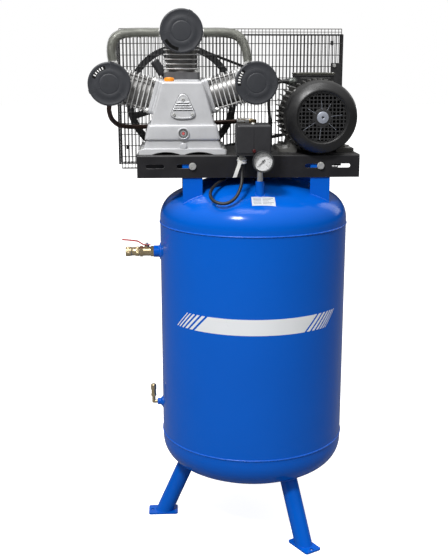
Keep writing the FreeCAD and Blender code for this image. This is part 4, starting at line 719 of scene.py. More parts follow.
def add_welds():
    """Beads along the two girth seams and round everything welded to the tank."""
    beads = Shell()
    seam_r = TANK_R - 0.4
    for number, z in enumerate(SEAMS_Z):
        line = [(seam_r * sin(a), -seam_r * cos(a), z) for a in circle(220)]
        beads.tube(line, rippled(line, 2.6, number), closed=True)
    rings = [(ring_on_shell(25.0, OUTLET_Z), 2.6), (ring_on_shell(18.0, SAFETY_Z), 2.2),
             (ring_on_head(*RISER, 14.0), 2.2), (ring_on_head(*CHECK_VALVE, 18.0), 2.4),
             (ring_on_head(*DRAIN, 14.0, upper=False), 2.2)]
    rings += [(leg_ring(angle), 3.4) for angle in LEG_ANGLES]
    for number, (line, size) in enumerate(rings):
        beads.tube(line, rippled(line, size, 20 + number), closed=True)
    for x in BRACKET_X:
        for side in (-1, 1):
            for y, size, seed in ((154.0, 2.6, 40), (147.6, 2.4, 41)):
                line = [on_dome(x - 29.0 + 4.14 * i, side * y) for i in range(15)]
                beads.tube(line, rippled(line, size, seed))
    foot = (TANK_R - 0.3) * Vector((sin(PLATE_SEAM), -cos(PLATE_SEAM), 0))
    seam = [foot + Vector((0, 0, 318.0 + 7.0 * i)) for i in range(101)]
    beads.tube(seam, rippled(seam, 2.3, 60))
    # The bead colour carries a painted highlight.
    piece("tank_welds", beads, "weld_paint_highlit", smooth=60)


# --- guard ---
def clipped(low, high, fixed, holes, along_x):
    """Stretches of a straight wire from low to high that miss the round holes."""
    spans = [(low, high)]
    for hx, hz, r in holes:
        centre, off = (hx, fixed - hz) if along_x else (hz, fixed - hx)
        if abs(off) >= r:
            continue
        half = sqrt(r * r - off * off)
        cut = []
        for a, b in spans:
            if centre - half > a:
                cut.append((a, min(b, centre - half)))
            if centre + half < b:
                cut.append((max(a, centre + half), b))
        spans = cut
    return [(a, b) for a, b in spans if b - a > 2.0]


def wire_panel(cage, extent, y, rows, thick, holes=()):
    """Welded mesh: upright wires in front, level wires behind, rods round the rim and the holes."""
    x0, x1, z0, z1 = extent
    for i in range(1, GUARD_COLUMNS):
        x = x0 + (x1 - x0) * i / GUARD_COLUMNS
        for a, b in clipped(z0, z1, x, holes, False):
            cage.tube([(x, y - 0.5, a), (x, y - 0.5, b)], thick, sides=6)
    for z in rows:
        for a, b in clipped(x0, x1, z, holes, True):
            cage.tube([(a, y + 0.9, z), (b, y + 0.9, z)], 1.3, sides=6)
    r = 1.5
    rim = [(x0 + r, y, z0 + r), (x1 - r, y, z0 + r), (x1 - r, y, z1 - r), (x0 + r, y, z1 - r)]
    for a, b in zip(rim, rim[1:] + rim[:1]):
        cage.tube([a, b], r)
    for hx, hz, radius in holes:
        reach = radius + 0.6
        ring = [(hx + reach * cos(a), y, hz + reach * sin(a)) for a in circle(36)]
        cage.tube(ring, 1.4, sides=6, closed=True)


def add_guard():
    """Mesh box round the belts: two panels, wire rim, edge strips, upright, clips and screws."""
    near_y, far_y = sum(GUARD_NEAR_Y) / 2, sum(GUARD_FAR_Y) / 2
    x0, x1, z0, z1 = GUARD_NEAR
    holes = [(PUMP_X, CRANK_Z, 32.0), (MOTOR_X, MOTOR_Z, 32.0)] + [(x, 1215.0, 13.0) for x in BRACKET_X]
    near, far, rim, post, fixings = (Shell() for _ in range(5))
    wire_panel(near, GUARD_NEAR, near_y, [1213.0 + 36.7 * k for k in range(11)], 1.8, holes)
    near.box((x0, near_y - 1.4, z0), (x0 + 6.0, near_y + 1.4, z1))
    piece("guard_near_mesh", near, "guard_paint", replaces=["guard_front_grille"], smooth=50)
    wire_panel(far, GUARD_FAR, far_y, [1206.0 + 37.5 * k for k in range(-1, 12)], 1.2)
    piece("guard_far_mesh", far, "mesh_far", replaces=["guard_rear_grille"], smooth=50)
    left = x0 + 6.0
    for k in range(1, 37):
        z = z0 + (z1 - z0) * k / 37
        rim.tube([(left, near_y, z), (left, far_y, z)], 1.15, sides=6)
    for i in range(66):
        x = x0 + (x1 - x0) * (i + 0.5) / 66
        for z in (z1 - 3.0, z0 + 3.0):
            rim.tube([(x, near_y, z), (x, far_y, z)], 1.15, sides=6)
    for share in (0.33, 0.67):
        y = near_y + (far_y - near_y) * share
        rim.tube([(left, y, z0 + 3), (left, y, z1 - 3)], 1.15, sides=6)
        for z in (z0 + 3, z1 - 3):
            rim.tube([(left, y, z), (x1 - 6, y, z)], 1.15, sides=6)
    piece("guard_rim_mesh", rim, "guard_paint", smooth=50)
    post.box((x1 - 6.0, near_y + 2.2, z0 + 2), (x1 - 1.5, near_y + 30.0, z1 - 2))
    left, right = POST_X
    post.box((left, 151, DECK_Z), (right, 157, POST_TOP_Z))
    post.box((left, 125, DECK_Z), (right, 151, DECK_Z + 5))
    for x, z in ((270.5, 1581.8), (-406.0, 1245.2)):
        post.box((x - 5, near_y - 3.4, z - 7), (x + 5, near_y + 1.5, z + 7))
    piece("guard_post", post, "guard_paint", replaces=["guard_frame"], bevel=1.2)
    for x, z in ((278.0, 1510.0), (285.0, 1290.0)):
        hex_head(fixings, (x, 151.0, z), (0, -1, 0), 11.0, 5.0)
        fixings.tube([(x, 151, z), (x, near_y, z)], 3.0, sides=12)
    for x in (276, 295):
        hex_head(fixings, (x, 136.0, DECK_Z + 5), (0, 0, 1), 10.0, 4.0)
    piece("guard_fixings", fixings, "zinc")


def hex_head(shell, seat, direction, across, height, washer=0.0):
    """Hexagon head with a chamfered crown, seated on a point."""
    turn = Vector((0, 0, 1)).rotation_difference(Vector(direction)).to_matrix()
    origin = Vector(seat)
    corner = across / sqrt(3)
    corners = [corner * Vector((cos(a + pi / 6), sin(a + pi / 6), 0)) for a in circle(6)]
    rings = []
    for share, h in ((1.0, 0.0), (1.0, height * 0.78), (0.88, height)):
        rings.append([origin + turn @ (p * share + Vector((0, 0, h))) for p in corners])
    shell.ring_strip(rings)
    if washer:
        shell.lathe([(0, -0.1), (washer, -0.1), (washer, 0.9), (washer - 0.6, 1.4), (0, 1.4)], seat,
                    direction, 28)


# --- drive ---
def belt_line(big_r, small_r, steps=56):
    """Closed line round both wheels as (x, z)."""
    run_x, run_z = MOTOR_X - PUMP_X, MOTOR_Z - CRANK_Z
    heading = atan2(run_z, run_x)
    wrap = acos((big_r - small_r) / hypot(run_x, run_z))
    line = []
    for i in range(steps + 1):
        a = heading + wrap + (2 * pi - 2 * wrap) * i / steps
        line.append((PUMP_X + big_r * cos(a), CRANK_Z + big_r * sin(a)))
    for i in range(steps // 2 + 1):
        a = heading - wrap + 2 * wrap * i / (steps // 2)
        line.append((MOTOR_X + small_r * cos(a), MOTOR_Z + small_r * sin(a)))
    return line


def add_belts():
    """Two V belts of trapezoid section with a cogged inner face left plain."""
    section = ((4.6, 0.0), (4.9, -0.8), (4.9, -1.6), (3.0, -8.0), (-3.0, -8.0), (-4.9, -1.6), (-4.9, -0.8),
               (-4.6, 0.0))
    belts = Shell()
    for y in BELT_Y:
        rings = []
        lines = {depth: belt_line(FLYWHEEL_R - 2 + depth, PULLEY_R - 2 + depth) for _, depth in section}
        for i in range(len(lines[0.0])):
            rings.append([Vector((lines[depth][i][0], y + across, lines[depth][i][1])) for across,
                          depth in section])
        belts.ring_strip(rings, closed_end=False, caps=False)
    piece("drive_belts", belts, "belt_rubber", replaces=["v_belts"], smooth=30)


# --- motor ---
def add_cowl():
    """Pressed fan cowl with a square-hole grille, bright ring, ribs and centre cap."""
    start = (MOTOR_X, COWL_BACK_Y, MOTOR_Z)
    forward = (0, -1, 0)
    skirt, grid, ribs, cap, screws = (Shell() for _ in range(5))
    profile = [(108, 0), (108, 58), (107.2, 64), (104.5, 70.5), (100, 75.5), (84, 85.4), (81, 86.8),
               (79, 87.2),
               (77, 86.8), (75.5, 85.2), (74.5, 84.0), (70, 84.0), (70, 82), (75, 82), (80, 84),
               (98.5, 73.5),
               (102.8, 69), (105.4, 63), (106, 57), (106, 0)]
    skirt.lathe(profile, start, forward, 96)
    piece("motor_cowl", skirt, "cowl_black", replaces=["motor_fan_cover"], smooth=25)
    front = GRILLE_Y
    pitch, bar, reach = 11.4, 3.1, 72.5
    for i in range(-6, 6):
        off = (i + 0.5) * pitch
        half = sqrt(reach ** 2 - off ** 2)
        grid.box((MOTOR_X + off - bar / 2, front, MOTOR_Z - half),
                 (MOTOR_X + off + bar / 2, front + 2.0, MOTOR_Z + half))
        grid.box((MOTOR_X - half, front + 0.12, MOTOR_Z + off - bar / 2),
                 (MOTOR_X + half, front + 1.9, MOTOR_Z + off + bar / 2))
    grid.lathe([(0, 0), (27, 0), (27, 2.1), (26, 2.5), (0, 2.5)], (MOTOR_X, front + 2.0, MOTOR_Z), forward,
               64)
    piece("motor_cowl_grille", grid, "grille_grey", smooth=30)
    spokes = ((8, 24, 58), (60, 24, 46), (96, 24, 50), (150, 24, 52), (213, 26, 68), (262, 30, 66),
              (318, 24, 54))
    for angle, inner, outer in spokes:
        ribs.turned_box(placed((MOTOR_X, 0, MOTOR_Z), radians(-angle), "Y"), (inner, front - 0.7, -0.35),
                        (outer, front + 0.4, 0.35))
    piece("motor_cowl_ribs", ribs, "cap_grey", smooth=30)
    cap.lathe([(3.6, 0.4), (16.5, 0.4), (17.5, 1.4), (17.2, 2.4), (15.5, 3.2), (4.6, 3.2), (3.6, 2.4)],
              (MOTOR_X, front, MOTOR_Z), forward, 56)
    piece("motor_cowl_cap", cap, "cap_grey", smooth=30)
    for angle in (45, 135):
        a = radians(angle)
        place = (MOTOR_X + 107.6 * cos(a), -124.0, MOTOR_Z + 107.6 * sin(a))
        screws.lathe([(0, 0), (4.2, 0), (4.0, 1.4), (2.4, 2.4), (0, 2.4)], place, (cos(a), 0, sin(a)), 18)
    piece("motor_cowl_screws", screws, "zinc")


def add_terminal_box():
    """Connection box: case with a flange, a lid with a raised panel, and corner screws."""
    case = Shell()
    x0, x1 = MOTOR_X - TERMINAL_HALF, MOTOR_X + TERMINAL_HALF
    y0, y1, z0, z1 = -36.0, 76.0, MOTOR_Z + 86.0, MOTOR_Z + 121.6
    case.box((x0, y0, z0), (x1, y1, z1))
    case.box((x0 - 1.5, y0 - 1.5, z1 - 5), (x1 + 1.5, y1 + 1.5, z1 - 0.4))
    case.box((x0 + 10, y0 - 2.0, z0 + 6), (x1 - 10, y0 + 2, z1 - 9))
    piece("terminal_case", case, "motor_paint", replaces=["motor_terminal_box"], bevel=2.2)
    lid = Shell()
    lid.box((MOTOR_X - 60, -38, MOTOR_Z + 122), (MOTOR_X + 60, 78, MOTOR_Z + 127))
    lid.box((MOTOR_X - 48, -26, MOTOR_Z + 126.5), (MOTOR_X + 48, 66, MOTOR_Z + 128.0))
    piece("terminal_lid", lid, "lid_olive", bevel=2.0, steps=3)
    screws = Shell()
    for x in (MOTOR_X - 54, MOTOR_X + 54):
        for y in (-32, 72):
            screws.lathe([(0, 0), (3.6, 0), (3.4, 1.2), (2.0, 2.0), (0, 2.0)], (x, y, MOTOR_Z + 126.8),
                         (0, 0, 1), 16)
    piece("terminal_screws", screws, "zinc")


def add_glands():
    """Gland nuts with tapered rubber relief on both ends of the lead, and the white tag at the switch."""
    start = CABLE_ROUTE[0]
    metal = Shell()
    wall = MOTOR_X - TERMINAL_HALF
    hex_head(metal, (wall, start[1], start[2]), (-1, 0, 0), 22.0, 6.0)
    metal.lathe([(5.2, 5), (10.5, 5), (10.8, 8), (10.6, 14), (9.2, 18.0), (7.2, 20.2), (5.2, 20.8)],
                (wall, start[1], start[2]), (-1, 0, 0), 32)
    piece("motor_gland", metal, "gland_grey", replaces=["cable_glands"])
    white = Shell()
    x, y = SWITCH_GLAND
    white.lathe([(5.2, 0), (8.5, 0), (8.5, 6), (12.6, 6.4), (12.8, 11.5), (11.4, 12.4), (11.4, 13.6),
                 (12.8, 14.4), (12.8, 23.6), (12.0, 24.6), (8.4, 25.0), (8.4, 26), (5.2, 26)],
                (x, y, SWITCH_Z[0]), (0, 0, -1), 36)
    for a in circle(12):
        white.turned_box(placed((x, y, SWITCH_Z[0]), a, "Z"), (12.0, -1.1, -23.0), (13.4, 1.1, -15.0))
    piece("switch_gland", white, "white_plastic")
    relief = Shell()
    low = [(x, y, 1229.0), (x, y, 1222.0), (x + 0.2, y - 1.2, 1210.0), (x + 0.4, y - 3.0, 1200.0)]
    relief.tube(low, [7.6, 7.2, 6.4, 5.5], sides=24)
    exit_point = Vector(start)
    lead = (Vector(CABLE_ROUTE[1]) - exit_point).normalized()
    line = [exit_point + Vector((6.0, 0, 0)), exit_point, exit_point + lead * 8, exit_point + lead * 16]
    relief.tube(line, [8.2, 7.6, 6.6, 5.5], sides=24)
    piece("lead_reliefs", relief, "cable_rubber")
    tag = Shell()
    section = [Vector(p) for p in ((-6.0, 0, -1), (6.0, 0, 1), (6.0, 0.9, 1), (-6.0, 0.9, -1))]
    rings = []
    for dx, dy, z in ((6.0, 13.6, 1240.0), (9.0, 15.0, 1228.0), (14.0, 16.0, 1214.0), (19.0, 16.0, 1200.0),
                      (22.0, 14.5, 1190.0)):
        rings.append([Vector((x - dx, y - dy, z)) + p for p in section])
    tag.ring_strip(rings)
    ring = [(x + 14.2 * cos(a), y + 14.2 * sin(a), 1240.0) for a in circle(28)]
    tag.tube(ring, 1.3, sides=6, closed=True)
    piece("lead_tag", tag, "white_plastic", smooth=50)


# --- pump ---
FILTER_FACE = ((64, 4.2), (63.2, 2.2), (61, 1.0), (58.9, 0.9), (57.0, 1.6), (43.0, 1.6), (41.0, 1.0),
               (31.0, 1.0),
               (29.6, 1.4), (27.4, 0.6), (26.0, 0.5), (0, 0.5))


def add_filters():
    """Round intake silencers: stepped face with short ribs, clips, and an arc of vents over pale foam. The
    vents' black is painted shade in the slots; the top filter's vents have no foam and show only painted
    shade.
    """
    vents = {"left": (48.5, 131.0, 49.0), "top": (53.0, 234.0, 44.0), "right": (52.5, 162.0, 45.0)}
    depth = FILTER_BACK_Y - FILTER_FRONT_Y
    face = FILTER_FRONT_Y + 1.8
    drums, arcs, pale = Shell(), Shell(), Shell()
    for side in BANK_ANGLES:
        x, y, z = bank_point(side, FILTER_REACH[side])
        radius, middle, spread = vents[side]
        case = [(0, 0), (59, 0), (61.5, 2), (62, 5), (62, 22), (63.6, 23.5), (64, 26)]
        case += [(r, depth - step) for r, step in FILTER_FACE]
        drums.lathe(case, (x, FILTER_BACK_Y, z), (0, -1, 0), 72)
        neck = y - HEAD_HALF - FILTER_BACK_Y
        if neck > 0:
            drums.lathe([(0, 0), (18, 0), (18, neck), (0, neck)], (x, FILTER_BACK_Y, z), (0, 1, 0), 40)

        def around(angle):
            return placed((x, 0, z), -radians(angle), "Y")

        for i in range(3):
            clip = Shell()
            clip.box((59.0, FILTER_FRONT_Y + 0.7, -6.0), (65.0, FILTER_FRONT_Y + 13.0, 6.0))
            clip.box((30.5, FILTER_FRONT_Y + 0.5, -1.0), (42.5, FILTER_FRONT_Y + 2.4, 1.0))
            for lean in (-3.2, 3.2):
                drums.turned_box(around(middle + 70 + 120 * i + lean), (45.0, FILTER_FRONT_Y + 1.0, -0.9),
                                 (57.5, FILTER_FRONT_Y + 2.2, 0.9))
            drums.turned(clip, around(middle + 70 + 120 * i))
        for i in range(8):
            arcs.turned_box(around(middle + spread * (i / 7 - 0.5)), (radius - 5.0, face - 0.5, -3.8),
                            (radius + 5.0, face + 1.0, 3.8))
        # No foam on the top filter: its vents stay black, painted shade.
        if side != "top":
            for i in range(5):
                pale.turned_box(around(middle + (spread - 12.0) * (i / 4 - 0.5)),
                                (radius - 3.8, face - 0.9, -1.8), (radius + 3.8, face + 0.5, 1.8))
    piece("intake_filters", drums, "filter_plastic", replaces=["air_filters"], smooth=28)
    piece("filter_vents", arcs, "vent_painted_shade")
    piece("filter_foam", pale, "foam_pale", bevel=0.5)


def finned_routes():
    """Bend corners of both interstage pipes, from head to head."""
    left_head = bank_point("left", 230, HEAD_HALF)
    right_head = bank_point("right", 230, -HEAD_HALF)
    top_left = bank_point("top", 212, -HEAD_HALF)
    top_right = bank_point("top", 212, HEAD_HALF)
    return ((left_head, (-441, -44, 1556), (-430, -39, 1596), (-390, -32, 1609), top_left),
            (right_head, (-25, -16, 1558), (-44, -20, 1598), (-86, -27, 1610), top_right))


def add_finned_pipes():
    """Interstage pipes: a core tube with wound fins and a union nut at each end."""
    core, fins, nuts = Shell(), Shell(), Shell()
    for route in finned_routes():
        line = smooth_line(route, 10)
        core.tube(line, 12.6, sides=24)
        places = spaced_line(line, 3.3)
        frames = carried_frames(places)
        for i in range(5, len(places) - 5):
            p, (u, v) = places[i], frames[i]
            along = u.cross(v)
            rings = []
            for r, shift in ((12.4, -0.9), (14.9, -0.6), (15.4, 0.0), (14.9, 0.6), (12.4, 0.9)):
                rings.append([p + along * shift + (u * cos(a) + v * sin(a)) * r for a in circle(24)])
            fins.ring_strip(rings, caps=False)
        for end, nxt in ((line[0], line[1]), (line[-1], line[-2])):
            along = (nxt - end).normalized()
            hex_head(nuts, end - along * 1.0, along, 29.0, 14.0)
            nuts.tube([end + along * 12, end + along * 17], 13.4, sides=24)
    core.turned(fins, Matrix.Identity(4))
    piece("interstage_pipes", core, "pipe_grey", replaces=["finned_pipes"], smooth=40)
    piece("interstage_nuts", nuts, "zinc")


def cover_outline(grow=0.0):
    """Rounded three-cornered outline of the cover as (x, z), grown by a margin."""
    centre_z = 1388.0
    half = [(0.0, 1354.6), (12.0, 1355.0), (23.0, 1356.6), (31.0, 1359.6), (35.6, 1364.0), (36.6, 1369.5),
            (35.4, 1375.0), (15.6, 1417.0), (12.4, 1423.0), (7.0, 1427.6), (0.0, 1429.4)]
    full = half + [(-x, z) for x, z in reversed(half[1:-1])]
    out = []
    for x, z in full:
        reach = hypot(x, z - centre_z)
        share = (reach + grow) / reach
        out.append((FACE_X + x * share, centre_z + (z - centre_z) * share))
    return out


def add_breather():
    """Louvred cover: gasket, dished plate, four louvres and three screws; black strips in the louvre slots
    are painted shade.
    """
    face = CASE_FRONT_Y
    plate, gaps, screws = Shell(), Shell(), Shell()
    rings = []
    for grow, y in ((0.0, face), (0.0, face - 4.4), (-0.8, face - 5.8), (-2.2, face - 6.6),
                    (-4.6, face - 6.8), (-5.4, face - 6.0)):
        rings.append([Vector((x, y, z)) for x, z in cover_outline(grow)])
    plate.ring_strip(rings)
    for i in range(4):
        z = 1381.6 + 6.9 * i
        reach = 30.0 - 4.0 * i
        lip = [(0, z), (0, z + 3.8), (-3.0, z + 1.4), (-2.7, z + 0.4)]
        outline = [Vector((0, face - 6.0 + dy, zz)) for dy, zz in lip]
        plate.prism(outline, (FACE_X - reach, 0, 0), (FACE_X + reach, 0, 0))
        # Black strip inside each louvre slot: painted shade.
        gaps.box((FACE_X - reach, face - 6.5, z - 2.0), (FACE_X + reach, face - 5.9, z + 0.2))
    piece("breather_plate", plate, "cast_silver", replaces=["breather_cover"], smooth=30)
    gaps.ring_strip([[Vector((x, y, z)) for x, z in cover_outline(1.2)] for y in (face + 0.2, face - 0.9)])
    piece("breather_gaps", gaps, "cable_rubber")
    for x, z in ((-27.0, 1368.0), (27.0, 1368.0), (0.0, 1413.0)):
        round_screw(screws, (FACE_X + x, face - 6.6, z), (0, -1, 0), 5.2)
    piece("breather_screws", screws, "zinc")


def case_ring(z, out, corner=11.0, steps=6):
    """Rounded outline of the oil band in plan at one height, a distance outside it."""
    half = CASE_TOP_HALF + (CASE_TOP_Z - z) * CASE_LEAN + 3.0 + out
    front, back = -150.0 - out, 83.0 + out
    ring = []
    for sx, y, first in ((-1, front, 180), (1, front, 270), (1, back, 0), (-1, back, 90)):
        cx = PUMP_X + sx * (half - corner)
        cy = y + corner if y < 0 else y - corner
        for i in range(steps + 1):
            a = radians(first + 90 * i / steps)
            ring.append(Vector((cx + corner * cos(a), cy + corner * sin(a), z)))
    return ring


def add_case_relief():
    """Swelling band round the oil sump and the nut on the delivery pipe."""
    band = Shell()
    profile = ((0.3, 1338.4), (1.3, 1338.2), (2.5, 1336.6), (3.1, 1333.6), (3.0, 1328.0), (2.6, 1318.0),
               (2.1, 1308.0),
               (1.6, 1299.0), (0.9, 1294.6), (0.3, 1294.0))
    band.ring_strip([case_ring(z, out) for out, z in profile])
    piece("sump_band", band, "cast_silver", smooth=60)
    x, y = CHECK_VALVE
    sleeve = Shell()
    hex_head(sleeve, (x - 50.6, y, DELIVERY_Z), (1, 0, 0), 21.2, 24.0)
    sleeve.lathe([(9.2, 0), (11.2, 0), (11.2, 12.0), (9.2, 12.0)], (x - 27.0, y, DELIVERY_Z), (1, 0, 0), 32)
    sleeve.lathe([(7.6, -5), (9.0, -5), (9.4, 0), (7.6, 0)], (x - 50.4, y, DELIVERY_Z), (1, 0, 0), 32)
    piece("delivery_nut", sleeve, "bright_nut")


def rounded_square(half, corner, steps=5, parts=10):
    """Outline of a square with rounded corners, as (x, y), with points along its straight sides too."""
    outline = []
    for sx, sy, first in ((1, 1, 0), (-1, 1, 90), (-1, -1, 180), (1, -1, 270)):
        for i in range(steps + 1):
            a = radians(first + 90 * i / steps)
            outline.append((sx * (half - corner) + corner * cos(a), sy * (half - corner) + corner * sin(a)))
        x, y = outline[-1]
        flat = 2 * (half - corner) / parts
        outline += [(x - sy * flat * i, y) if sx == sy else (x, y + sx * flat * i) for i in range(1, parts)]
    return outline


def square_collar(shell, turn, half, corner, span, bore, ease):
    """Square plate with rounded corners, eased edges and a round bore, across a bank's axis."""
    low, high = span
    rings = []
    for size, reach in ((half - ease, low), (half, low + ease), (half, high - ease), (half - ease, high)):
        rings.append([turn @ Vector((x, y, reach)) for x, y in rounded_square(size, corner)])
    for reach in (high, low):
        rings.append([turn @ (Vector((x, y, 0)).normalized() * bore + Vector((0, 0, reach)))
                      for x, y in rounded_square(half, corner)])
    shell.ring_strip(rings, closed_end=False)


def add_cylinders():
    """Bored barrels, their cooling fins, seat flanges and flange nuts."""
    barrels, fins, iron, silver, nuts = (Shell() for _ in range(5))
    for side in BANK_ANGLES:
        turn = on_bank(side)
        barrel = Shell()
        barrel.lathe([(BORE_R, SEAT_REACH), (49, SEAT_REACH), (49, BARREL_END), (BORE_R, BARREL_END)],
                     (0, 0, 0), (0, 0, 1), 64)
        barrels.turned(barrel, turn)
        for i in range(FIN_COUNT):
            low = SEAT_REACH + 20 + i * FIN_PITCH
            square_collar(fins, turn, FIN_HALF, 12.0, (low, low + 3.0), 47.0, 0.5)
        square_collar(fins, turn, HEAD_HALF, 6.0, (BARREL_END - 6, BARREL_END), 47.0, 0.6)
        flange, low = (iron, 73.0) if side == "top" else (silver, 83.7)
        square_collar(flange, turn, 54.5, 10.0, (low, 95.0), 49.0, 1.5)
        for x in (-46.0, 46.0):
            for y in (-46.0, 46.0):
                nut = Shell()
                hex_head(nut, (x, y, 94.8), (0, 0, 1), 13.0, 8.0, 9.5)
                nut.tube([(x, y, 100), (x, y, 105)], 4.0, sides=16)
                nuts.turned(nut, turn)
    piece("cylinder_barrels", barrels, "barrel_metal", replaces=["cylinders"])
    piece("cylinder_fins", fins, "cylinder_alloy")
    piece("top_flange", iron, "flange_iron")
    piece("side_flanges", silver, "cast_silver")
    piece("flange_nuts", nuts, "zinc")


def round_screw(shell, seat, direction, r):
    """Pan head with a shallow drive socket."""
    shell.lathe([(0, 0), (r, 0), (r, r * 0.3), (r * 0.8, r * 0.6), (r * 0.42, r * 0.66),
                 (r * 0.38, r * 0.35), (0, r * 0.3)],
                seat, direction, 24)


def add_oil_fittings():
    """Sight glass with bezel, white ring and red mark; drain plug; filler cap with grip ribs."""
    seat, forward = (FACE_X, CASE_FRONT_Y - 8.0, SIGHT_Z), (0, -1, 0)
    bezel, dark, mark, glass, plug = (Shell() for _ in range(5))
    bezel.lathe([(0, -3), (17.6, -3), (18.2, 0.5), (18.0, 3.4), (16.6, 4.9), (15.2, 4.9), (14.0, 3.4),
                 (13.8, 1.2), (0, 1.2)],
                seat, forward, 56)
    piece("sight_bezel", bezel, "cast_silver", replaces=["sight_glass"], smooth=30)
    dark.lathe([(8.2, 1.0), (13.9, 1.0), (13.9, 3.2), (8.2, 2.2)], seat, forward, 48)
    dark.lathe([(4.0, 1.0), (6.4, 1.0), (6.4, 2.0), (4.0, 2.0)], seat, forward, 32)
    piece("sight_ring", dark, "cable_rubber")
    mark.lathe([(0, 0.8), (4.0, 0.8), (4.0, 2.1), (0, 2.3)], seat, forward, 28)
    piece("sight_mark", mark, "red_plastic")
    glass.lathe([(0, 2.9), (13.9, 2.9), (13.9, 3.9), (9, 4.4), (0, 4.7)], seat, forward, 40)
    piece("sight_pane", glass, "clear_lens", smooth=60)
    plug.lathe([(0, -3), (10.2, -3), (10.5, 0.4), (10.5, 4.0), (9.6, 5.6), (8.2, 6.0), (5.0, 6.3),
                (0, 6.4)],
               (FACE_X, CASE_FRONT_Y - 0.2, OIL_DRAIN_Z), forward, 36)
    piece("drain_plug", plug, "cast_silver", replaces=["oil_drain_plug"], smooth=30)
    cap = Shell()
    seat = (*OIL_FILLER, CASE_TOP_Z)
    cap.lathe([(0, 0.3), (14.2, 0.3), (14.2, 2.4), (13.6, 2.8), (13.6, 8.6), (12.8, 10.4), (11, 11.0),
               (6, 11.2),
               (5.4, 11.8), (0, 12.0)], seat, (0, 0, 1), 48)
    for a in circle(18):
        cap.turned_box(placed(seat, a, "Z"), (13.0, -1.1, 2.6), (15.0, 1.1, 8.8))
    piece("filler_cap", cap, "cap_orange", replaces=["oil_filler_cap"], smooth=30)


# --- control group ---
def add_gauge_marks():
    """Scale of the gauge: ticks and numbers printed on the dial."""
    face_y = GAUGE_BACK_Y - DIAL_DEPTH
    marks = Shell()
    for i in range(33):
        a = radians(-135 + 270 * i / 32)
        long = i % 4 == 0
        inner = 18.5 if long else 21.0
        half = 0.55 if long else 0.3
        marks.turned_box(placed((GAUGE_X, 0, GAUGE_Z), a, "Y"), (-half, face_y - 0.15, inner),
                         (half, face_y, 24.0))
    for i, label in enumerate(("0", "4", "8", "12", "16")):
        a = radians(-135 + 67.5 * i)
        text = bpy.data.curves.new("label", "FONT")
        text.body = label
        text.size = 5.6 * MM
        text.align_x, text.align_y = "CENTER", "CENTER"
        text.extrude = 0.06 * MM
        maker = linked("label", text)
        mesh = bpy.data.meshes.new_from_object(maker)
        spot = (GAUGE_X + 14.2 * sin(a), face_y - 0.05, GAUGE_Z + 14.2 * cos(a))
        turn = placed(spot, radians(90), "X")
        marks.add([turn @ (v.co / MM) for v in mesh.vertices], [tuple(p.vertices) for p in mesh.polygons])
        bpy.data.objects.remove(maker)
        bpy.data.curves.remove(text)
        bpy.data.meshes.remove(mesh)
    piece("gauge_scale", marks, "print_black")


def add_switch_details():
    """Top screw, side ribs and a plate near the foot of the pressure switch."""
    details = Shell()
    x0, x1 = SWITCH_X
    for i in range(6):
        z = 1276.0 + 9.0 * i
        details.box((x1 - 0.6, -236.0, z), (x1 + 1.0, -178.0, z + 3.0))
        details.box((x0 - 1.0, -236.0, z), (x0 + 0.6, -178.0, z + 3.0))
    details.box((x0 + 2.4, -247.4, 1257.0), (x1 - 2.4, -166.6, 1262.4))
    piece("switch_ribs", details, "black_plastic", bevel=0.7)
    screw = Shell()
    round_screw(screw, (-19.0, -207.0, SWITCH_Z[1]), (0, 0, 1), 6.0)
    piece("switch_screw", screw, "zinc")


# --- outlet group ---
def knurl(shell, start, direction, r, low, high, teeth, depth=0.7):
    """Band of straight teeth round an axis."""
    turn = Vector((0, 0, 1)).rotation_difference(Vector(direction)).to_matrix()
    origin = Vector(start)
    rings = []
    for share, h in ((0.0, low), (1.0, low + 1.0), (1.0, high - 1.0), (0.0, high)):
        ring = []
        for i in range(teeth * 2):
            a = pi * i / teeth
            out = r + (depth * share if i % 2 else 0.0)
            ring.append(origin + turn @ Vector((out * cos(a), out * sin(a), h)))
        rings.append(ring)
    shell.ring_strip(rings)


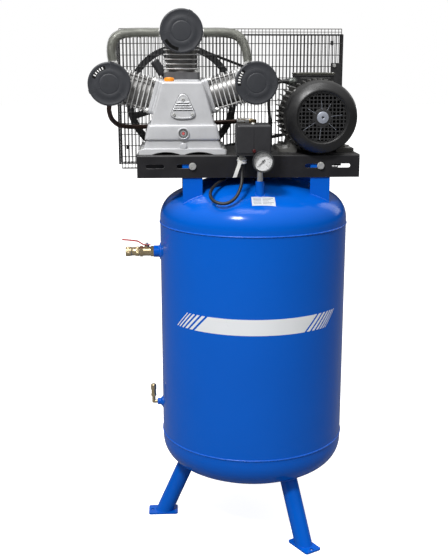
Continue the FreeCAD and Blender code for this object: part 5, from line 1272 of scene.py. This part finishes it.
def add_outlet():
    """Brass end coupling with knurled grips, and the vinyl-dipped lever."""
    start, along = (OUTLET_END_X, 0.0, OUTLET_Z), (-1, 0, 0)
    coupling = Shell()
    coupling.lathe([(9, 0.2), (14.8, 0.2), (15.2, 1), (15.2, 13), (14.2, 15.5), (14, 16.5), (14, 25.5),
                    (14.6, 27.4),
                    (15.4, 28.4), (15.4, 44.8), (14.6, 46), (11.4, 46), (10.5, 45), (10.5, 22), (9, 20)],
                   start, along, 56)
    for low, high in ((2.0, 12.0), (29.5, 43.5)):
        knurl(coupling, start, along, 15.0, low, high, 44)
    for i in range(9):
        low = 24 + 2.2 * i
        coupling.lathe([(9.9, low), (10.6, low + 0.4), (10.6, low + 1.4), (9.9, low + 1.8)], start, along,
                       40)
    piece("outlet_end", coupling, "brass_fittings", replaces=["outlet_coupling"], smooth=28)
    z = OUTLET_Z + 20.5
    lever = Shell()
    rings = []
    for x, dz, wide, thick in ((12, 1.2, 5.0, 1.1), (0, 1.2, 7.0, 1.1), (-9, 1.4, 7.0, 1.1),
                               (-14, 3.2, 7.0, 1.9),
                               (-26, 11.2, 7.0, 1.9), (-31, 13.6, 7.0, 1.9), (-40, 15.0, 7.0, 1.9),
                               (-60, 17.2, 6.8, 1.9), (-80, 19.0, 5.6, 1.9)):
        ring = []
        for a in circle(16):
            across = copysign(abs(cos(a)) ** 0.6, cos(a))
            rise = copysign(abs(sin(a)) ** 0.8, sin(a))
            ring.append(Vector((OUTLET_STEM_X + x, wide * across, z + dz + thick * rise)))
        rings.append(ring)
    lever.ring_strip(rings)
    piece("outlet_lever_grip", lever, "red_lever", body="outlet_lever",
          replaces=["outlet_valve_lever"], smooth=50)
    nut = Shell()
    hex_head(nut, (OUTLET_STEM_X, 0, z + 2.2), (0, 0, 1), 10.0, 5.0)
    nut.lathe([(0, 0), (3.0, 0), (2.8, 1.4), (0, 1.6)], (OUTLET_STEM_X, 0, z + 6.8), (0, 0, 1), 16)
    piece("outlet_lever_nut", nut, "zinc", body="outlet_lever")
    cap, seat = Shell(), (SAFETY_X, 0, SAFETY_Z + 42.3)
    knurl(cap, seat, (0, 0, 1), 9.0, 1.0, 17.0, 26, 0.6)
    cap.lathe([(2.2, 0), (9.0, 0), (9.0, 17.8), (7.4, 19.8), (0, 20.0), (0, 15.6), (2.2, 15.6)], seat,
              (0, 0, 1), 36)
    piece("safety_cap_knurl", cap, "brass_fittings", body="safety_cap",
          replaces=["safety_valve_cap"], smooth=28)


for build in (add_decal, add_data_plate, add_welds, add_guard, add_belts, add_cowl, add_terminal_box,
              add_glands,
              add_filters, add_finned_pipes, add_breather, add_case_relief, add_cylinders, add_oil_fittings,
              add_gauge_marks, add_switch_details, add_outlet):
    build()


# --- stage ---
def seen_by_camera(tree, plain, shown, target):
    """Shader that the camera sees as one thing and every other ray as another."""
    path = tree.nodes.new("ShaderNodeLightPath")
    choice = tree.nodes.new("ShaderNodeMixShader")
    tree.links.new(path.outputs["Is Camera Ray"], choice.inputs["Fac"])
    tree.links.new(plain, choice.inputs[1])
    tree.links.new(shown, choice.inputs[2])
    tree.links.new(choice.outputs["Shader"], target)


WHITE, FLOOR_DULL = (1.0, 1.0, 1.0, 1.0), (0.25, 0.25, 0.25, 1.0)
FLOOR_GLOW, FLOOR_HALF = 0.80, 30.0


def stage_material(name, colour):
    """Pale floor: bright to the camera, mid grey to every other ray."""
    p = Paint(name)
    p.link(p.mix(p.spread(p.noise(1.5), 0.3, 0.7), tone(colour, 0.995), colour),
           p.bsdf.inputs["Base Color"])
    put(p.bsdf, {"Roughness": 0.9, "Emission Color": WHITE, "Emission Strength": FLOOR_GLOW})
    dull = p.new("ShaderNodeBsdfDiffuse", {"Color": FLOOR_DULL})
    target = p.tree.nodes["Material Output"].inputs["Surface"]
    seen_by_camera(p.tree, dull.outputs["BSDF"], p.bsdf.outputs["BSDF"], target)
    return p.material


def add_floor():
    mesh = bpy.data.meshes.new("floor")
    corners = [(x * FLOOR_HALF, y * FLOOR_HALF, 0) for x, y in ((-1, -1), (1, -1), (1, 1), (-1, 1))]
    mesh.from_pydata(corners, [], [(0, 1, 2, 3)])
    floor = linked("floor", mesh)
    mesh.materials.append(stage_material("floor_white", (0.92, 0.92, 0.92)))


def add_area(name, place, target, size, power):
    data = bpy.data.lights.new(name, "AREA")
    data.shape = "RECTANGLE"
    data.size, data.size_y = size
    data.energy = power
    lamp = linked(name, data)
    lamp.location = place
    lamp.rotation_euler = (Vector(target) - Vector(place)).to_track_quat("-Z", "Y").to_euler()


def add_world():
    """Even studio air, a little brighter overhead, white behind the machine."""
    world = bpy.data.worlds.new("studio")
    bpy.context.scene.world = world
    world.use_nodes = True
    tree = world.node_tree
    dim = tree.nodes["Background"]
    place = tree.nodes.new("ShaderNodeTexCoord")
    split = tree.nodes.new("ShaderNodeSeparateXYZ")
    rise = tree.nodes.new("ShaderNodeMapRange")
    tree.links.new(place.outputs["Generated"], split.inputs[0])
    tree.links.new(split.outputs["Z"], rise.inputs["Value"])
    put(rise, {"From Min": 0.05, "From Max": 0.9, "To Min": 0.025, "To Max": 0.95})
    tree.links.new(rise.outputs["Result"], dim.inputs["Strength"])
    put(dim, {"Color": WHITE})
    white = tree.nodes.new("ShaderNodeBackground")
    put(white, {"Color": WHITE, "Strength": 1.0})
    seen_by_camera(tree, dim.outputs["Background"], white.outputs["Background"],
                   tree.nodes["World Output"].inputs["Surface"])


def add_lights():
    add_world()
    add_area("key", (-1.5, -3.0, 4.2), (0, 0, 1.0), (0.8, 0.5), 165)
    add_area("top", (-0.1, -0.9, 3.9), (0, 0, 1.0), (1.3, 1.0), 20)
    add_area("rim", (2.8, 1.8, 2.4), (0, 0, 1.1), (1.0, 2.0), 10)
    bpy.context.scene.view_settings.view_transform = "Standard"


add_floor()
add_lights()
